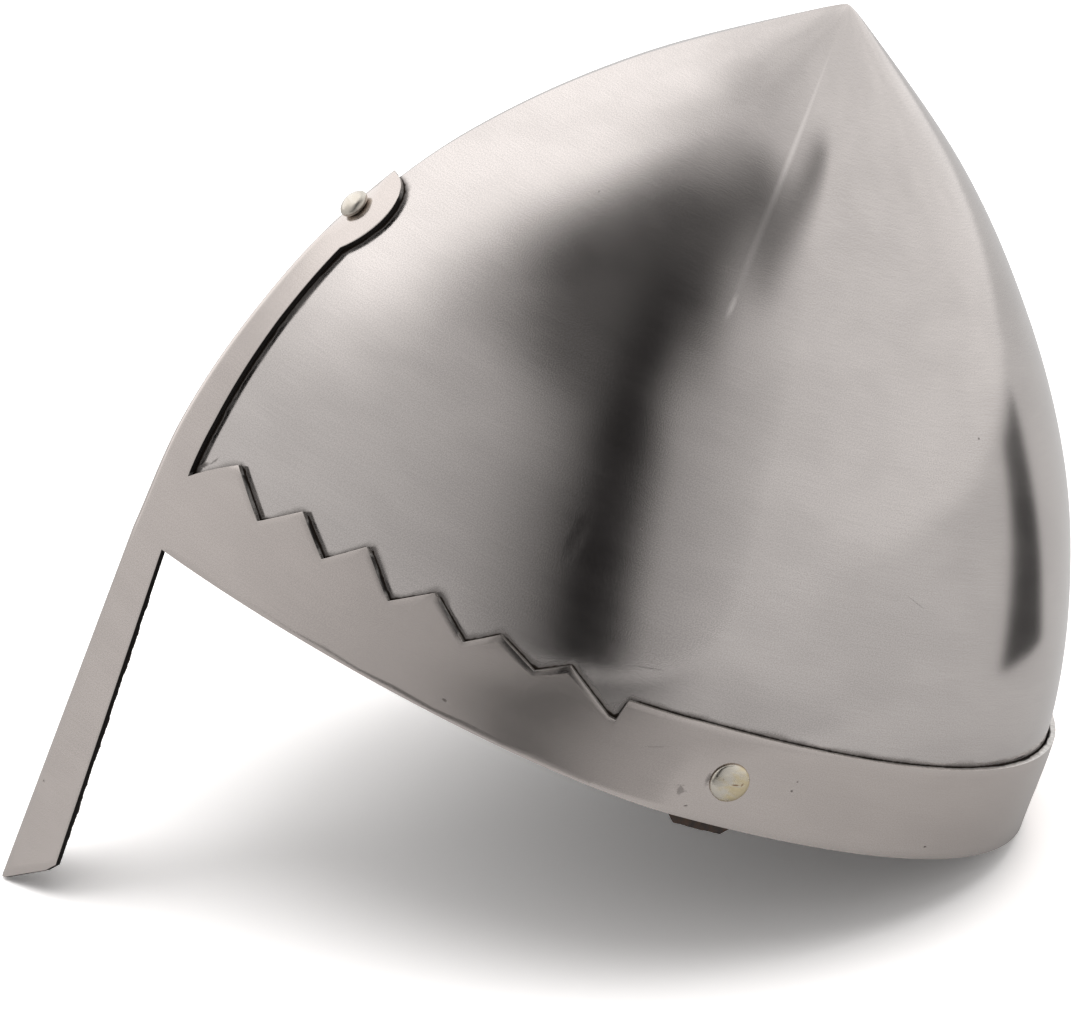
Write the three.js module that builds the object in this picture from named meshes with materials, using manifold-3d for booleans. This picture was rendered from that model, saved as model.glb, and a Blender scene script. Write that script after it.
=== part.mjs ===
// Norman nasal helmet, lying on its nasal and the back of its rim.
//
// The pieces are built in the helmet's own frame, in millimetres: the rim lies in the plane z = 0,
// the face looks to -Y, the wearer's left is +X and the skull rises to +Z. One group then tips the
// whole helmet forward until the nasal's point and the back of the rim both stand on the floor.

import * as THREE from 'three';
import { mergeVertices } from 'three/addons/utils/BufferGeometryUtils.js';
import Module from 'manifold-3d';

const wasm = await Module();
wasm.setup();

// Sheet, leather and clearance
const SHEET = 1.6;
const LEATHER = 1.8;
const SEAM = 0.3;
const BAND_INNER = SEAM;
const BAND_OUTER = SEAM + SHEET;
const SKULL_INNER = -SHEET;

// Skull: its outer face at seven even heights, from the rim to the point.
// front and rear are the ends of the middle line, halfWidth is the reach to either side.
const SKULL_HEIGHT = 171.6;
const SKULL_SECTIONS = [
  { height: 0.0, front: -113.4, rear: 112.9, halfWidth: 90.1 },
  { height: 28.6, front: -112.1, rear: 110.9, halfWidth: 89.8 },
  { height: 57.2, front: -105.7, rear: 103.1, halfWidth: 84.2 },
  { height: 85.8, front: -94.4, rear: 89.8, halfWidth: 74.0 },
  { height: 114.4, front: -75.3, rear: 69.1, halfWidth: 57.7 },
  { height: 143.0, front: -44.4, rear: 40.6, halfWidth: 34.4 },
  { height: SKULL_HEIGHT, front: 0.0, rear: 0.0, halfWidth: 0.0 },
];
const WIDEST_AT = 0.489;      // share of the length, from the front, where a section is widest
const KEEL_POWER = 1.643;     // how pointed the front of a section is
const KEEL_ROUND = 0.866;     // below 1 the ridge itself is slightly rounded
const BACK_POWER = 2.233;     // above 2 the back is fuller than an ellipse
const TIP_HEIGHT = 172.1;     // where the rounded point's slope comes to its own middle
const TIP_ROUND = 1.6;        // how far below that the rounded point ends

// Brow band: its upper edge, as an arc length from the ridge and a height. It is hand cut,
// with six teeth, a deeper notch at the temple, and a plain edge round the back.
const BAND_EDGE = [
  { arc: 9.6, height: 18.6 },
  { arc: 21.6, height: 27.7 },
  { arc: 32.9, height: 19.0 },
  { arc: 42.7, height: 26.7 },
  { arc: 52.3, height: 19.4 },
  { arc: 61.5, height: 27.4 },
  { arc: 71.7, height: 18.7 },
  { arc: 81.3, height: 25.7 },
  { arc: 92.1, height: 18.5 },
  { arc: 99.5, height: 24.0 },
  { arc: 109.9, height: 19.9 },
  { arc: 117.2, height: 24.5 },
  { arc: 129.6, height: 17.2 },
  { arc: 131.4, height: 17.0 },
  { arc: 132.6, height: 22.4 },
];
const BACK_BAND_HEIGHT = 23.3;
const BACK_BAND_FROM = 150;

// Nasal: a V-section bar that runs on down from the ridge of the band
const NASAL_DROP = 92.8;
const NASAL_LEAN = 1.6;           // how far the point leans back towards the face
const NASAL_HALF_TOP = 9.0;
const NASAL_HALF_FOOT = 12.1;
const NASAL_CORNER_HEIGHT = 10.4; // the outer corners of the foot stand this far above the point
const NASAL_CORNER_CUT = 2.0;

// Strip that climbs from the brow to the front rivet, and its egg-shaped end
const STRIP_WIDTHS = [
  { height: 20.0, half: 7.8 },
  { height: 33.0, half: 7.4 },
  { height: 47.0, half: 6.6 },
  { height: 60.0, half: 5.95 },
  { height: 80.5, half: 5.55 },
];
const EGG = { height: 88.8, half: 7.6, up: 10.7, down: 12.0 };

// Rivets: a high round head in front, low heads at the temples, all peened over inside
const FRONT_RIVET = { height: 90.5, headRadius: 3.6, headHeight: 3.3 };
const SIDE_RIVET = { arc: 162.2, height: 10.5, headRadius: 4.8, headHeight: 1.9 };
const SHANK_RADIUS = 2.0;
const PEEN_RADIUS = 3.4;
const PEEN_HEIGHT = 1.2;
const HOLE_LENGTH = 24;
const RIDGE_HOLLOW = 1.8;         // the front rivet's peened end bridges the hollow of the ridge
const ROUND_SIDES = 20;

// Leather: tabs inside the temples and a lining on the back of the nasal
const TAB = { front: -1.6, back: 16.0, foot: -3.3, top: 19.0, corner: 2.2 };
const LINING_TOP = -13;
const LINING_INSET = 1.1;         // the lining lies deeper in the V, so it is that much narrower
const LINING_FOOT_GAP = 1.5;

// How finely the curved sheets are faceted. All sheets share the levels and columns, so that their
// facets stay parallel and the clearance between them even.
const FRONT_COLUMNS = 18;
const BACK_COLUMNS = 16;
const LEVELS = [0, 12, 24, 36, 52, 68, 84, 100, 116, 131, 145, 157, 165, 169.5];
const STRIP_LEVELS = 9;
const TAB_LEVELS = 4;
const SMALL_STEP = 1e-3;

// Cutters reach well past the sheets that they cut
const CUT_DEEP = 0.7;
const CUT_WIDE = 1.2;
const FRONT_CUT = { from: -150, to: -55 };
const SIDE_CUT = { from: 60, to: 120 };
const OVERRUN = 12;

// Skull surface
const skullCurve = new THREE.CubicInterpolant(
  SKULL_SECTIONS.map((section) => section.height),
  SKULL_SECTIONS.flatMap(({ front, rear, halfWidth }) => [front, rear, halfWidth]),
  3,
);

function skullSection(height) {
  const [front, rear, halfWidth] = skullCurve.evaluate(height);
  return { front, rear, halfWidth };
}

// A station runs round the section: 0 at the ridge, 1 at the left temple, 2 at the back of the
// head, and negative round the right side.
function planPoint({ front, rear, halfWidth }, station) {
  const wrapped = station > 2 ? station - 4 : station;
  const side = Math.sign(wrapped);
  const along = Math.abs(wrapped);
  const widest = THREE.MathUtils.lerp(front, rear, WIDEST_AT);
  if (along <= 1) {
    const forward = Math.cos(along * Math.PI / 2);
    const x = halfWidth * (1 - forward ** KEEL_POWER) ** KEEL_ROUND;
    return new THREE.Vector2(side * x, widest - forward * (widest - front));
  }
  const turn = (along - 1) * Math.PI / 2;
  const x = halfWidth * Math.max(Math.cos(turn), 0) ** (2 / BACK_POWER);
  return new THREE.Vector2(side * x, widest + (rear - widest) * Math.sin(turn) ** (2 / BACK_POWER));
}

// The point is hammered round: towards it the surface falls away from the sharp cone by a hyperbola.
function roundedHeight(height) {
  const below = TIP_HEIGHT - Math.max(height, 0);
  const fall = Math.hypot(TIP_HEIGHT, TIP_ROUND) - Math.hypot(below, TIP_ROUND);
  return fall + Math.min(height, 0);
}

// Below the rim the section only shifts back with the lean of the nasal.
function surfacePoint(station, height) {
  const plan = planPoint(skullSection(Math.max(height, 0)), station);
  const lean = Math.max(-height, 0) / NASAL_DROP * NASAL_LEAN;
  return new THREE.Vector3(plan.x, plan.y + lean, roundedHeight(height));
}

function surfaceNormal(station, height) {
  const around = surfacePoint(station + SMALL_STEP, height);
  around.sub(surfacePoint(station - SMALL_STEP, height));
  const upward = surfacePoint(station, height + SMALL_STEP);
  upward.sub(surfacePoint(station, height - SMALL_STEP));
  return around.cross(upward).normalize();
}

function offsetPoint(station, height, offset) {
  return surfacePoint(station, height).addScaledVector(surfaceNormal(station, height), offset);
}

// Stations of the columns, with one on the ridge and none on the middle of the back, so that the
// rim has a short straight edge to stand on there.
function columnStations() {
  const left = [];
  for (let i = 1; i <= FRONT_COLUMNS; i += 1) {
    left.push(i / FRONT_COLUMNS);
  }
  for (let i = 1; i <= BACK_COLUMNS; i += 1) {
    left.push(1 + i / (BACK_COLUMNS + 0.5));
  }
  return [0, ...left, ...left.map((station) => -station).reverse()];
}

// Station that lies an arc length away from the ridge, round the outside of the band at the rim
function stationAtArc(arc) {
  const steps = 1000;
  let length = 0;
  let last = offsetPoint(0, 0, BAND_OUTER);
  for (let i = 1; i <= steps; i += 1) {
    const station = 2 * i / steps;
    const next = offsetPoint(station, 0, BAND_OUTER);
    length += next.distanceTo(last);
    if (length >= arc) {
      return station;
    }
    last = next;
  }
  return 2;
}

// Solids
function toSolid(geometry) {
  const bare = geometry.clone();
  bare.deleteAttribute('normal');
  bare.deleteAttribute('uv');
  const merged = mergeVertices(bare);
  const mesh = new wasm.Mesh({
    numProp: 3,
    vertProperties: new Float32Array(merged.attributes.position.array),
    triVerts: new Uint32Array(merged.index.array),
  });
  return new wasm.Manifold(mesh);
}

function toGeometry(solid) {
  const { vertProperties, triVerts } = solid.getMesh();
  const geometry = new THREE.BufferGeometry();
  geometry.setAttribute('position', new THREE.BufferAttribute(vertProperties, 3));
  geometry.setIndex(new THREE.BufferAttribute(triVerts, 1));
  geometry.computeVertexNormals();
  return geometry;
}

function triangleGeometry(points, triangles) {
  const geometry = new THREE.BufferGeometry();
  const positions = points.flatMap((point) => [point.x, point.y, point.z]);
  geometry.setAttribute('position', new THREE.Float32BufferAttribute(positions, 3));
  geometry.setIndex(triangles);
  return geometry;
}

// Side walls between closed rings of points, counter-clockwise from above and rising
function wallTriangles(ringCount, columns, closed = false) {
  const triangles = [];
  const walls = closed ? ringCount : ringCount - 1;
  for (let row = 0; row < walls; row += 1) {
    for (let column = 0; column < columns; column += 1) {
      const next = (column + 1) % columns;
      const upper = (row + 1) % ringCount;
      const a = row * columns + column;
      const b = row * columns + next;
      const c = upper * columns + next;
      const d = upper * columns + column;
      triangles.push(a, b, c, a, c, d);
    }
  }
  return triangles;
}

// A closed body from rings, with a fan below the first ring and one above the last
function stackedSolid(rings, foot, tip) {
  const columns = rings[0].length;
  const points = [...rings.flat(), foot, tip];
  const triangles = wallTriangles(rings.length, columns);
  const footIndex = points.length - 2;
  const tipIndex = points.length - 1;
  const top = (rings.length - 1) * columns;
  for (let column = 0; column < columns; column += 1) {
    const next = (column + 1) % columns;
    triangles.push(footIndex, next, column);
    triangles.push(tipIndex, top + column, top + next);
  }
  return toSolid(triangleGeometry(points, triangles));
}

function skinBody(offset, heights, tip) {
  const stations = columnStations();
  const rings = heights.map((height) => stations.map((s) => offsetPoint(s, height, offset)));
  const foot = new THREE.Vector3(0, 0, heights[0]);
  return stackedSolid(rings, foot, tip);
}

// The part of the skull's shape below a height, moved out by an offset
function layer(inner, outer, heights) {
  const tipAt = (height) => new THREE.Vector3(0, 0, height);
  const last = heights.length - 1;
  const longer = [...heights];
  longer[0] -= OVERRUN;
  longer[last] += OVERRUN;
  const body = skinBody(outer, heights, tipAt(heights[last]));
  return body.subtract(skinBody(inner, longer, tipAt(longer[last])));
}

// Outline in the x-z plane, carried along Y
function frontPrism(shape) {
  const depth = FRONT_CUT.to - FRONT_CUT.from;
  const geometry = new THREE.ExtrudeGeometry(shape, { depth, bevelEnabled: false });
  geometry.rotateX(Math.PI / 2);
  geometry.translate(0, FRONT_CUT.to, 0);
  return toSolid(geometry);
}

// Outline in the y-z plane, carried along X through one temple: side is 1 on the left, -1 on the right
function sidePrism(shape, side) {
  const depth = SIDE_CUT.to - SIDE_CUT.from;
  const geometry = new THREE.ExtrudeGeometry(shape, { depth, bevelEnabled: false });
  geometry.rotateX(Math.PI / 2);
  geometry.rotateZ(Math.PI / 2);
  geometry.translate(side > 0 ? SIDE_CUT.from : -SIDE_CUT.to, 0, 0);
  return toSolid(geometry);
}

// Rivets
function rivetSeat(station, height) {
  return { point: surfacePoint(station, height), normal: surfaceNormal(station, height) };
}

function alongNormal(seat) {
  const turn = new THREE.Quaternion();
  turn.setFromUnitVectors(new THREE.Vector3(0, 1, 0), seat.normal);
  return new THREE.Matrix4().compose(seat.point, turn, new THREE.Vector3(1, 1, 1));
}

function rivetHole(seat) {
  const radius = SHANK_RADIUS + SEAM;
  const hole = new THREE.CylinderGeometry(radius, radius, HOLE_LENGTH, ROUND_SIDES);
  return toSolid(hole.applyMatrix4(alongNormal(seat)));
}

// Profile from the axis of the peened end to the axis of the head; `inside` is the face that the
// peened end closes on, and `outside` the face under the head.
function rivetGeometry({ headRadius, headHeight }, inside, outside) {
  const peenFace = inside - SEAM;
  const headFace = outside + SEAM;
  const profile = [
    new THREE.Vector2(0, peenFace - PEEN_HEIGHT),
    new THREE.Vector2(PEEN_RADIUS * 0.6, peenFace - PEEN_HEIGHT * 0.9),
    new THREE.Vector2(PEEN_RADIUS, peenFace - PEEN_HEIGHT * 0.3),
    new THREE.Vector2(PEEN_RADIUS, peenFace),
    new THREE.Vector2(SHANK_RADIUS, peenFace),
    new THREE.Vector2(SHANK_RADIUS, headFace),
  ];
  const domeSteps = 6;
  for (let i = 0; i <= domeSteps; i += 1) {
    const turn = i / domeSteps * Math.PI / 2;
    const radius = i === domeSteps ? 0 : headRadius * Math.cos(turn);
    profile.push(new THREE.Vector2(radius, headFace + headHeight * Math.sin(turn)));
  }
  return new THREE.LatheGeometry(profile, ROUND_SIDES);
}

// Brow band, nasal and strip, cut from one sheet
function bandRingCutter() {
  const edge = BAND_EDGE.map(({ arc, height }) => ({ station: stationAtArc(arc), height }));
  const plainFrom = stationAtArc(BACK_BAND_FROM);
  const plainSteps = 8;
  for (let i = 0; i <= plainSteps; i += 1) {
    const station = THREE.MathUtils.lerp(plainFrom, 2, i / plainSteps);
    edge.push({ station, height: BACK_BAND_HEIGHT });
  }
  const right = edge.slice(0, -1).reverse().map(({ station, height }) => ({ station: -station, height }));
  const columns = [{ station: 0, height: BAND_EDGE[0].height }, ...edge, ...right];
  const rim = skullSection(0);
  const corner = (share, pickHeight) => columns.map((column) => {
    const plan = planPoint(rim, column.station).multiplyScalar(share);
    return new THREE.Vector3(plan.x, plan.y, pickHeight(column));
  });
  const floor = () => 0;
  const top = (column) => column.height;
  const rings = [
    corner(CUT_WIDE, floor),
    corner(CUT_WIDE, top),
    corner(CUT_DEEP, top),
    corner(CUT_DEEP, floor),
  ];
  return toSolid(triangleGeometry(rings.flat(), wallTriangles(rings.length, columns.length, true)));
}

function nasalStripShape() {
  const shape = new THREE.Shape();
  const footCorner = -NASAL_DROP + NASAL_CORNER_HEIGHT;
  const cut = NASAL_CORNER_CUT;
  const right = [
    [NASAL_HALF_FOOT - cut, footCorner - cut * NASAL_CORNER_HEIGHT / NASAL_HALF_FOOT],
    [NASAL_HALF_FOOT, footCorner + cut * 0.5],
    [NASAL_HALF_TOP, 0],
    ...STRIP_WIDTHS.map(({ height, half }) => [half, height]),
  ];
  const eggSteps = 12;
  const first = -Math.acos(STRIP_WIDTHS.at(-1).half / EGG.half);
  for (let i = 1; i < eggSteps; i += 1) {
    const turn = THREE.MathUtils.lerp(first, Math.PI / 2, i / eggSteps);
    const reach = turn < 0 ? EGG.down : EGG.up;
    right.push([EGG.half * Math.cos(turn), EGG.height + reach * Math.sin(turn)]);
  }
  shape.moveTo(0, -NASAL_DROP);
  right.forEach(([x, z]) => shape.lineTo(x, z));
  shape.lineTo(0, EGG.height + EGG.up);
  [...right].reverse().forEach(([x, z]) => shape.lineTo(-x, z));
  return shape;
}

function nasalHalfWidth(height) {
  const share = -height / (NASAL_DROP - NASAL_CORNER_HEIGHT);
  return THREE.MathUtils.lerp(NASAL_HALF_TOP, NASAL_HALF_FOOT, share);
}

function liningShape() {
  const shape = new THREE.Shape();
  const tip = -NASAL_DROP + LINING_FOOT_GAP;
  const corner = tip + NASAL_CORNER_HEIGHT;
  const footHalf = nasalHalfWidth(corner) - LINING_INSET;
  const topHalf = nasalHalfWidth(LINING_TOP) - LINING_INSET;
  shape.moveTo(0, tip);
  shape.lineTo(footHalf, corner);
  shape.lineTo(topHalf, LINING_TOP);
  shape.lineTo(-topHalf, LINING_TOP);
  shape.lineTo(-footHalf, corner);
  return shape;
}

function tabShape() {
  const shape = new THREE.Shape();
  shape.moveTo(TAB.front + TAB.corner, TAB.foot);
  shape.lineTo(TAB.back - TAB.corner, TAB.foot);
  shape.lineTo(TAB.back, TAB.foot + TAB.corner);
  shape.lineTo(TAB.back, TAB.top);
  shape.lineTo(TAB.front, TAB.top);
  shape.lineTo(TAB.front, TAB.foot + TAB.corner);
  return shape;
}

const templeStation = stationAtArc(SIDE_RIVET.arc);
const frontSeat = rivetSeat(0, FRONT_RIVET.height);
const leftSeat = rivetSeat(templeStation, SIDE_RIVET.height);
const rightSeat = rivetSeat(-templeStation, SIDE_RIVET.height);
const frontHole = rivetHole(frontSeat);
const leftHole = rivetHole(leftSeat);
const rightHole = rivetHole(rightSeat);

function skullSolid() {
  const outerTip = new THREE.Vector3(0, 0, roundedHeight(SKULL_HEIGHT));
  const innerTip = new THREE.Vector3(0, 0, roundedHeight(SKULL_HEIGHT) - SHEET);
  const outer = skinBody(0, LEVELS, outerTip);
  const hollow = skinBody(SKULL_INNER, [-OVERRUN, ...LEVELS.slice(0, -1)], innerTip);
  return outer.subtract(hollow).subtract(frontHole).subtract(leftHole).subtract(rightHole);
}

function browBandSolid() {
  const heights = [-NASAL_DROP - OVERRUN, ...LEVELS.slice(0, STRIP_LEVELS)];
  const outline = bandRingCutter().add(frontPrism(nasalStripShape()));
  const sheet = layer(BAND_INNER, BAND_OUTER, heights).intersect(outline);
  return sheet.subtract(frontHole).subtract(leftHole).subtract(rightHole);
}

function liningSolid() {
  const heights = [-NASAL_DROP - OVERRUN, 0];
  return layer(-LEATHER, 0, heights).intersect(frontPrism(liningShape()));
}

function tabSolid(side, hole) {
  const outer = SKULL_INNER - SEAM;
  const strip = layer(outer - LEATHER, outer, [-OVERRUN, ...LEVELS.slice(0, TAB_LEVELS)]);
  return strip.intersect(sidePrism(tabShape(), side)).subtract(hole);
}

// Finishes
const steel = (color, roughness) => new THREE.MeshStandardMaterial({ color, roughness, metalness: 1 });
const hide = (color) => new THREE.MeshStandardMaterial({ color, roughness: 0.85, metalness: 0 });
const SKULL_STEEL = 0xb6afa9;
const BAND_STEEL = 0xada6a0;
const RIVET_STEEL = 0xbdb5a2;
const DARK_LEATHER = 0x35251d;

// Assembly
function piece(name, geometry, material) {
  const mesh = new THREE.Mesh(geometry, material);
  mesh.name = name;
  return mesh;
}

function rivet(name, seat, size, inside) {
  const mesh = piece(name, rivetGeometry(size, inside, BAND_OUTER), steel(RIVET_STEEL, 0.3));
  mesh.applyMatrix4(alongNormal(seat));
  return mesh;
}

const tabInner = SKULL_INNER - SEAM - LEATHER;
const helmet = new THREE.Group();
helmet.add(piece('skull', toGeometry(skullSolid()), steel(SKULL_STEEL, 0.32)));
helmet.add(piece('brow_band', toGeometry(browBandSolid()), steel(BAND_STEEL, 0.36)));
helmet.add(piece('nasal_lining', toGeometry(liningSolid()), hide(DARK_LEATHER)));
helmet.add(piece('tab_left', toGeometry(tabSolid(1, leftHole)), hide(DARK_LEATHER)));
helmet.add(piece('tab_right', toGeometry(tabSolid(-1, rightHole)), hide(DARK_LEATHER)));
helmet.add(rivet('rivet_front', frontSeat, FRONT_RIVET, SKULL_INNER - RIDGE_HOLLOW));
helmet.add(rivet('rivet_left', leftSeat, SIDE_RIVET, tabInner));
helmet.add(rivet('rivet_right', rightSeat, SIDE_RIVET, tabInner));

// The helmet tips forward by the angle between its rim and the line from the back of the nasal's
// point to the back of the rim.
const rim = skullSection(0);
const noseToBack = rim.rear - rim.front - NASAL_LEAN + BAND_INNER + BAND_OUTER;
helmet.rotation.x = -Math.atan2(NASAL_DROP, noseToBack);
helmet.updateMatrixWorld(true);
const box = new THREE.Box3().setFromObject(helmet, true);
const middle = box.getCenter(new THREE.Vector3());
helmet.position.set(0, -middle.y, -box.min.z);

const model = new THREE.Group();
model.add(helmet);
export default model;
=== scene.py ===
"""Looks of a norman nasal helmet that lies tipped forward on its nasal and the back of its rim.

Sizes are in millimetres in the helmet's own frame: the rim lies in the plane z = 0, the face looks
to -Y, the wearer's left is +X and the skull rises to +Z. HelmetForm.to_row tips that frame forward
and turns it into metres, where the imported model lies.
"""

import logging
import math
from dataclasses import dataclass
from enum import Enum

import bpy
import numpy as np
from mathutils import Matrix, Vector


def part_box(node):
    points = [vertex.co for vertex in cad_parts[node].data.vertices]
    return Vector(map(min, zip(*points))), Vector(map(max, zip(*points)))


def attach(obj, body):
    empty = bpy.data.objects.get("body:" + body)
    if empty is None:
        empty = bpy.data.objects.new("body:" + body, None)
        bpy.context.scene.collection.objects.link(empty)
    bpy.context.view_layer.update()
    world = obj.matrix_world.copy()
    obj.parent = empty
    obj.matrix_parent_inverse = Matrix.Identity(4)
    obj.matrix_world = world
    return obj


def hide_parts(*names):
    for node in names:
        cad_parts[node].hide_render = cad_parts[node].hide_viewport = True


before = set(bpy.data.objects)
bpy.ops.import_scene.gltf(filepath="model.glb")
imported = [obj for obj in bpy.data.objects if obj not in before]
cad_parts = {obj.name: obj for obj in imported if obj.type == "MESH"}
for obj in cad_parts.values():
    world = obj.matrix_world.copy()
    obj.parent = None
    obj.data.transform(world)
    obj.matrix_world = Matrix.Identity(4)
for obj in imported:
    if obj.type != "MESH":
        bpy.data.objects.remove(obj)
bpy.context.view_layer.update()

MM = 0.001
MERGE_DISTANCE = 1e-6
SMALL_STEP = 1e-3
TINY = 1e-12
STEEPEST = 60.0
LOG = logging.getLogger("helmet")

UV_MAP = "UVMap"
SEAM = "seam"
SHADE_AND_SOOT = "shade_and_soot"
SMOOTH_ANGLE = 38
SHARP_ANGLE = 60
RAGGED_WAVES = ((0.31, 0.9), (0.83, 0.8), (1.9, 0.55), (3.7, 0.4), (6.1, 0.3))
RAGGED_SHIFT = 1.7

Array = np.ndarray
Socket = bpy.types.NodeSocket
Colour = tuple[float, float, float]


class Side(Enum):
    """A side of the wearer, by the sign of X."""

    LEFT = 1
    RIGHT = -1


class Strokes(Enum):
    """How long and how wide the strokes of a finish are, in millimetres along the UV map."""

    GROUND_AROUND = (14.0, 0.24)
    GROUND_SHORT = (5.0, 0.3)
    FILED_ACROSS = (0.35, 1.4)
    POLISHED = (2.2, 0.5)


@dataclass(frozen=True)
class Relief:
    """How strong a fine height is on a surface, and how deep in millimetres."""

    strength: float
    depth: float


@dataclass(frozen=True)
class HelmetForm:
    """The skull's outer surface, from which every sheet takes its shape."""

    heights: tuple[float, ...] = (0.0, 28.6, 57.2, 85.8, 114.4, 143.0, 171.6)
    fronts: tuple[float, ...] = (-113.4, -112.1, -105.7, -94.4, -75.3, -44.4, 0.0)
    rears: tuple[float, ...] = (112.9, 110.9, 103.1, 89.8, 69.1, 40.6, 0.0)
    half_widths: tuple[float, ...] = (90.1, 89.8, 84.2, 74.0, 57.7, 34.4, 0.0)
    widest_at: float = 0.489
    keel_power: float = 1.643
    keel_round: float = 0.866
    back_power: float = 2.233
    tip_height: float = 172.1
    tip_round: float = 1.6
    nasal_drop: float = 92.8
    nasal_lean: float = 1.6
    band_inner: float = 0.3
    band_outer: float = 1.9
    seat_height: float = 89.3
    seat_depth: float = 0.95
    seat_radius: float = 3.9
    seat_reach: float = 9.5
    seat_softness: float = 0.25

    def section(self, height: Array) -> tuple[Array, Array, Array]:
        """The middle line's ends and the half width at a height.

        Args:
            height: heights above the rim; those below it read the rim's own section.

        Returns:
            The front, the rear and the half width of the section.
        """
        knots = np.array(self.heights)
        step = knots[1] - knots[0]
        level = np.clip(height, knots[0], knots[-1])
        index = np.clip((level // step).astype(int), 0, len(knots) - 2)
        share = (level - knots[index]) / step
        return tuple(
            self._hermite(np.array(table), index, share)
            for table in (self.fronts, self.rears, self.half_widths)
        )

    @staticmethod
    def _hermite(table: Array, index: Array, share: Array) -> Array:
        """A smooth curve through evenly spaced values.

        Args:
            table: the values at the knots.
            index: the knot below each place that is read.
            share: how far each place lies on the way to the next knot.

        Returns:
            The curve's value at each place.
        """
        slope = np.gradient(table)
        slope[0] = table[1] - table[0]
        slope[-1] = table[-1] - table[-2]
        start, end = table[index], table[index + 1]
        square, cube = share**2, share**3
        return (
            (2 * cube - 3 * square + 1) * start
            + (cube - 2 * square + share) * slope[index]
            + (3 * square - 2 * cube) * end
            + (cube - square) * slope[index + 1]
        )

    def lifted(self, height: Array) -> Array:
        """Height after the point has been hammered round; it stays as it is below the rim.

        Args:
            height: heights above the rim.

        Returns:
            The heights that the rounded point leaves them.
        """
        below = self.tip_height - np.maximum(height, 0.0)
        full = math.hypot(self.tip_height, self.tip_round)
        return full - np.hypot(below, self.tip_round) + np.minimum(height, 0.0)

    def point(self, station: Array, height: Array) -> Array:
        """Points of the skull's outer face.

        Args:
            station: 0 at the ridge, 1 at the left temple, 2 at the back, negative on the right.
            height: heights above the rim.

        Returns:
            Points in millimetres, with x, y and z in the last axis.
        """
        station, height = np.broadcast_arrays(
            np.asarray(station, float), np.asarray(height, float)
        )
        front, rear, half = self.section(height)
        widest = front + self.widest_at * (rear - front)
        wrapped = np.where(station > 2, station - 4, np.where(station < -2, station + 4, station))
        along = np.abs(wrapped)
        forward = np.cos(np.minimum(along, 1.0) * math.pi / 2)
        x_front = half * (1 - forward**self.keel_power) ** self.keel_round
        y_front = widest - forward * (widest - front)
        turn = np.clip(along - 1, 0, 1) * math.pi / 2
        power = 2 / self.back_power
        x_back = half * np.maximum(np.cos(turn), 0) ** power
        y_back = widest + (rear - widest) * np.sin(turn) ** power
        x = np.where(along <= 1, x_front, x_back) * np.sign(wrapped)
        y = np.where(along <= 1, y_front, y_back)
        y = y + np.maximum(-height, 0) / self.nasal_drop * self.nasal_lean
        return np.stack([x, y, self.lifted(height)], axis=-1)

    def normal(self, station: Array, height: Array) -> Array:
        """Unit normals of the outer face, pointing out.

        Args:
            station: stations as point() takes them.
            height: heights above the rim.

        Returns:
            The normals.
        """
        around = self.point(station + SMALL_STEP, height) - self.point(station - SMALL_STEP, height)
        rise = self.point(station, height + SMALL_STEP) - self.point(station, height - SMALL_STEP)
        normal = np.cross(around, rise)
        return normal / np.maximum(np.linalg.norm(normal, axis=-1, keepdims=True), TINY)

    def offset(self, station: Array, height: Array, out: float) -> Array:
        """Points that lie a distance out from the outer face."""
        station, height = np.broadcast_arrays(
            np.asarray(station, float), np.asarray(height, float)
        )
        return self.pressed(self.point(station, height) + out * self.normal(station, height), out)

    def seat(self) -> tuple[Array, Array]:
        """Centre and direction of the flat that the front rivet has pressed into the ridge."""
        ridge, height = np.array(0.0), np.array(self.seat_height)
        return self.point(ridge, height), self.normal(ridge, height)

    def pressed(self, points: Array, out: float) -> Array:
        """Points of a face after the ridge has been pressed flat under the front rivet.

        Args:
            points: places on the face.
            out: how far the face lies out from the skull's outer face.

        Returns:
            The points, moved in where they stood above the flat.
        """
        centre, direction = self.seat()
        rise = (points - centre) @ direction
        aside = np.linalg.norm(points - centre - rise[..., None] * direction, axis=-1)
        above = (rise - (out - self.seat_depth)) / self.seat_softness
        cut = -self.seat_softness * np.logaddexp(0.0, np.clip(above, -STEEPEST, STEEPEST))
        share = np.clip((self.seat_reach - aside) / (self.seat_reach - self.seat_radius), 0, 1)
        weight = share**2 * (3 - 2 * share)
        return points + (cut * weight)[..., None] * direction

    def station_at(self, x: Array, height: Array) -> Array:
        """Station in front of the temples whose point has a given x.

        Args:
            x: distances from the middle plane, signed.
            height: heights above the rim.

        Returns:
            The stations.
        """
        half = self.section(np.asarray(height, float))[2]
        reach = np.clip(np.abs(x) / half, 0, 1)
        forward = (1 - reach ** (1 / self.keel_round)) ** (1 / self.keel_power)
        return np.sign(x) * np.arccos(np.clip(forward, -1, 1)) * 2 / math.pi

    def arcs(self, samples: int = 4001) -> tuple[Array, Array]:
        """Stations from ridge to back, and the arc to each round the outside of the band.

        Args:
            samples: how many stations are measured.

        Returns:
            The stations and the arcs.
        """
        stations = np.linspace(0, 2, samples)
        points = self.offset(stations, 0.0, self.band_outer)
        steps = np.linalg.norm(np.diff(points, axis=0), axis=-1)
        return stations, np.concatenate([[0.0], np.cumsum(steps)])

    def station_of_arc(self, arc: Array) -> Array:
        """Station that lies an arc length away from the ridge along the band."""
        stations, arcs = self.arcs()
        return np.interp(arc, arcs, stations)

    def arc_of_station(self, station: Array) -> Array:
        """Signed arc length from the ridge to a station along the band."""
        stations, arcs = self.arcs()
        return np.sign(station) * np.interp(np.abs(station), stations, arcs)

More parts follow.
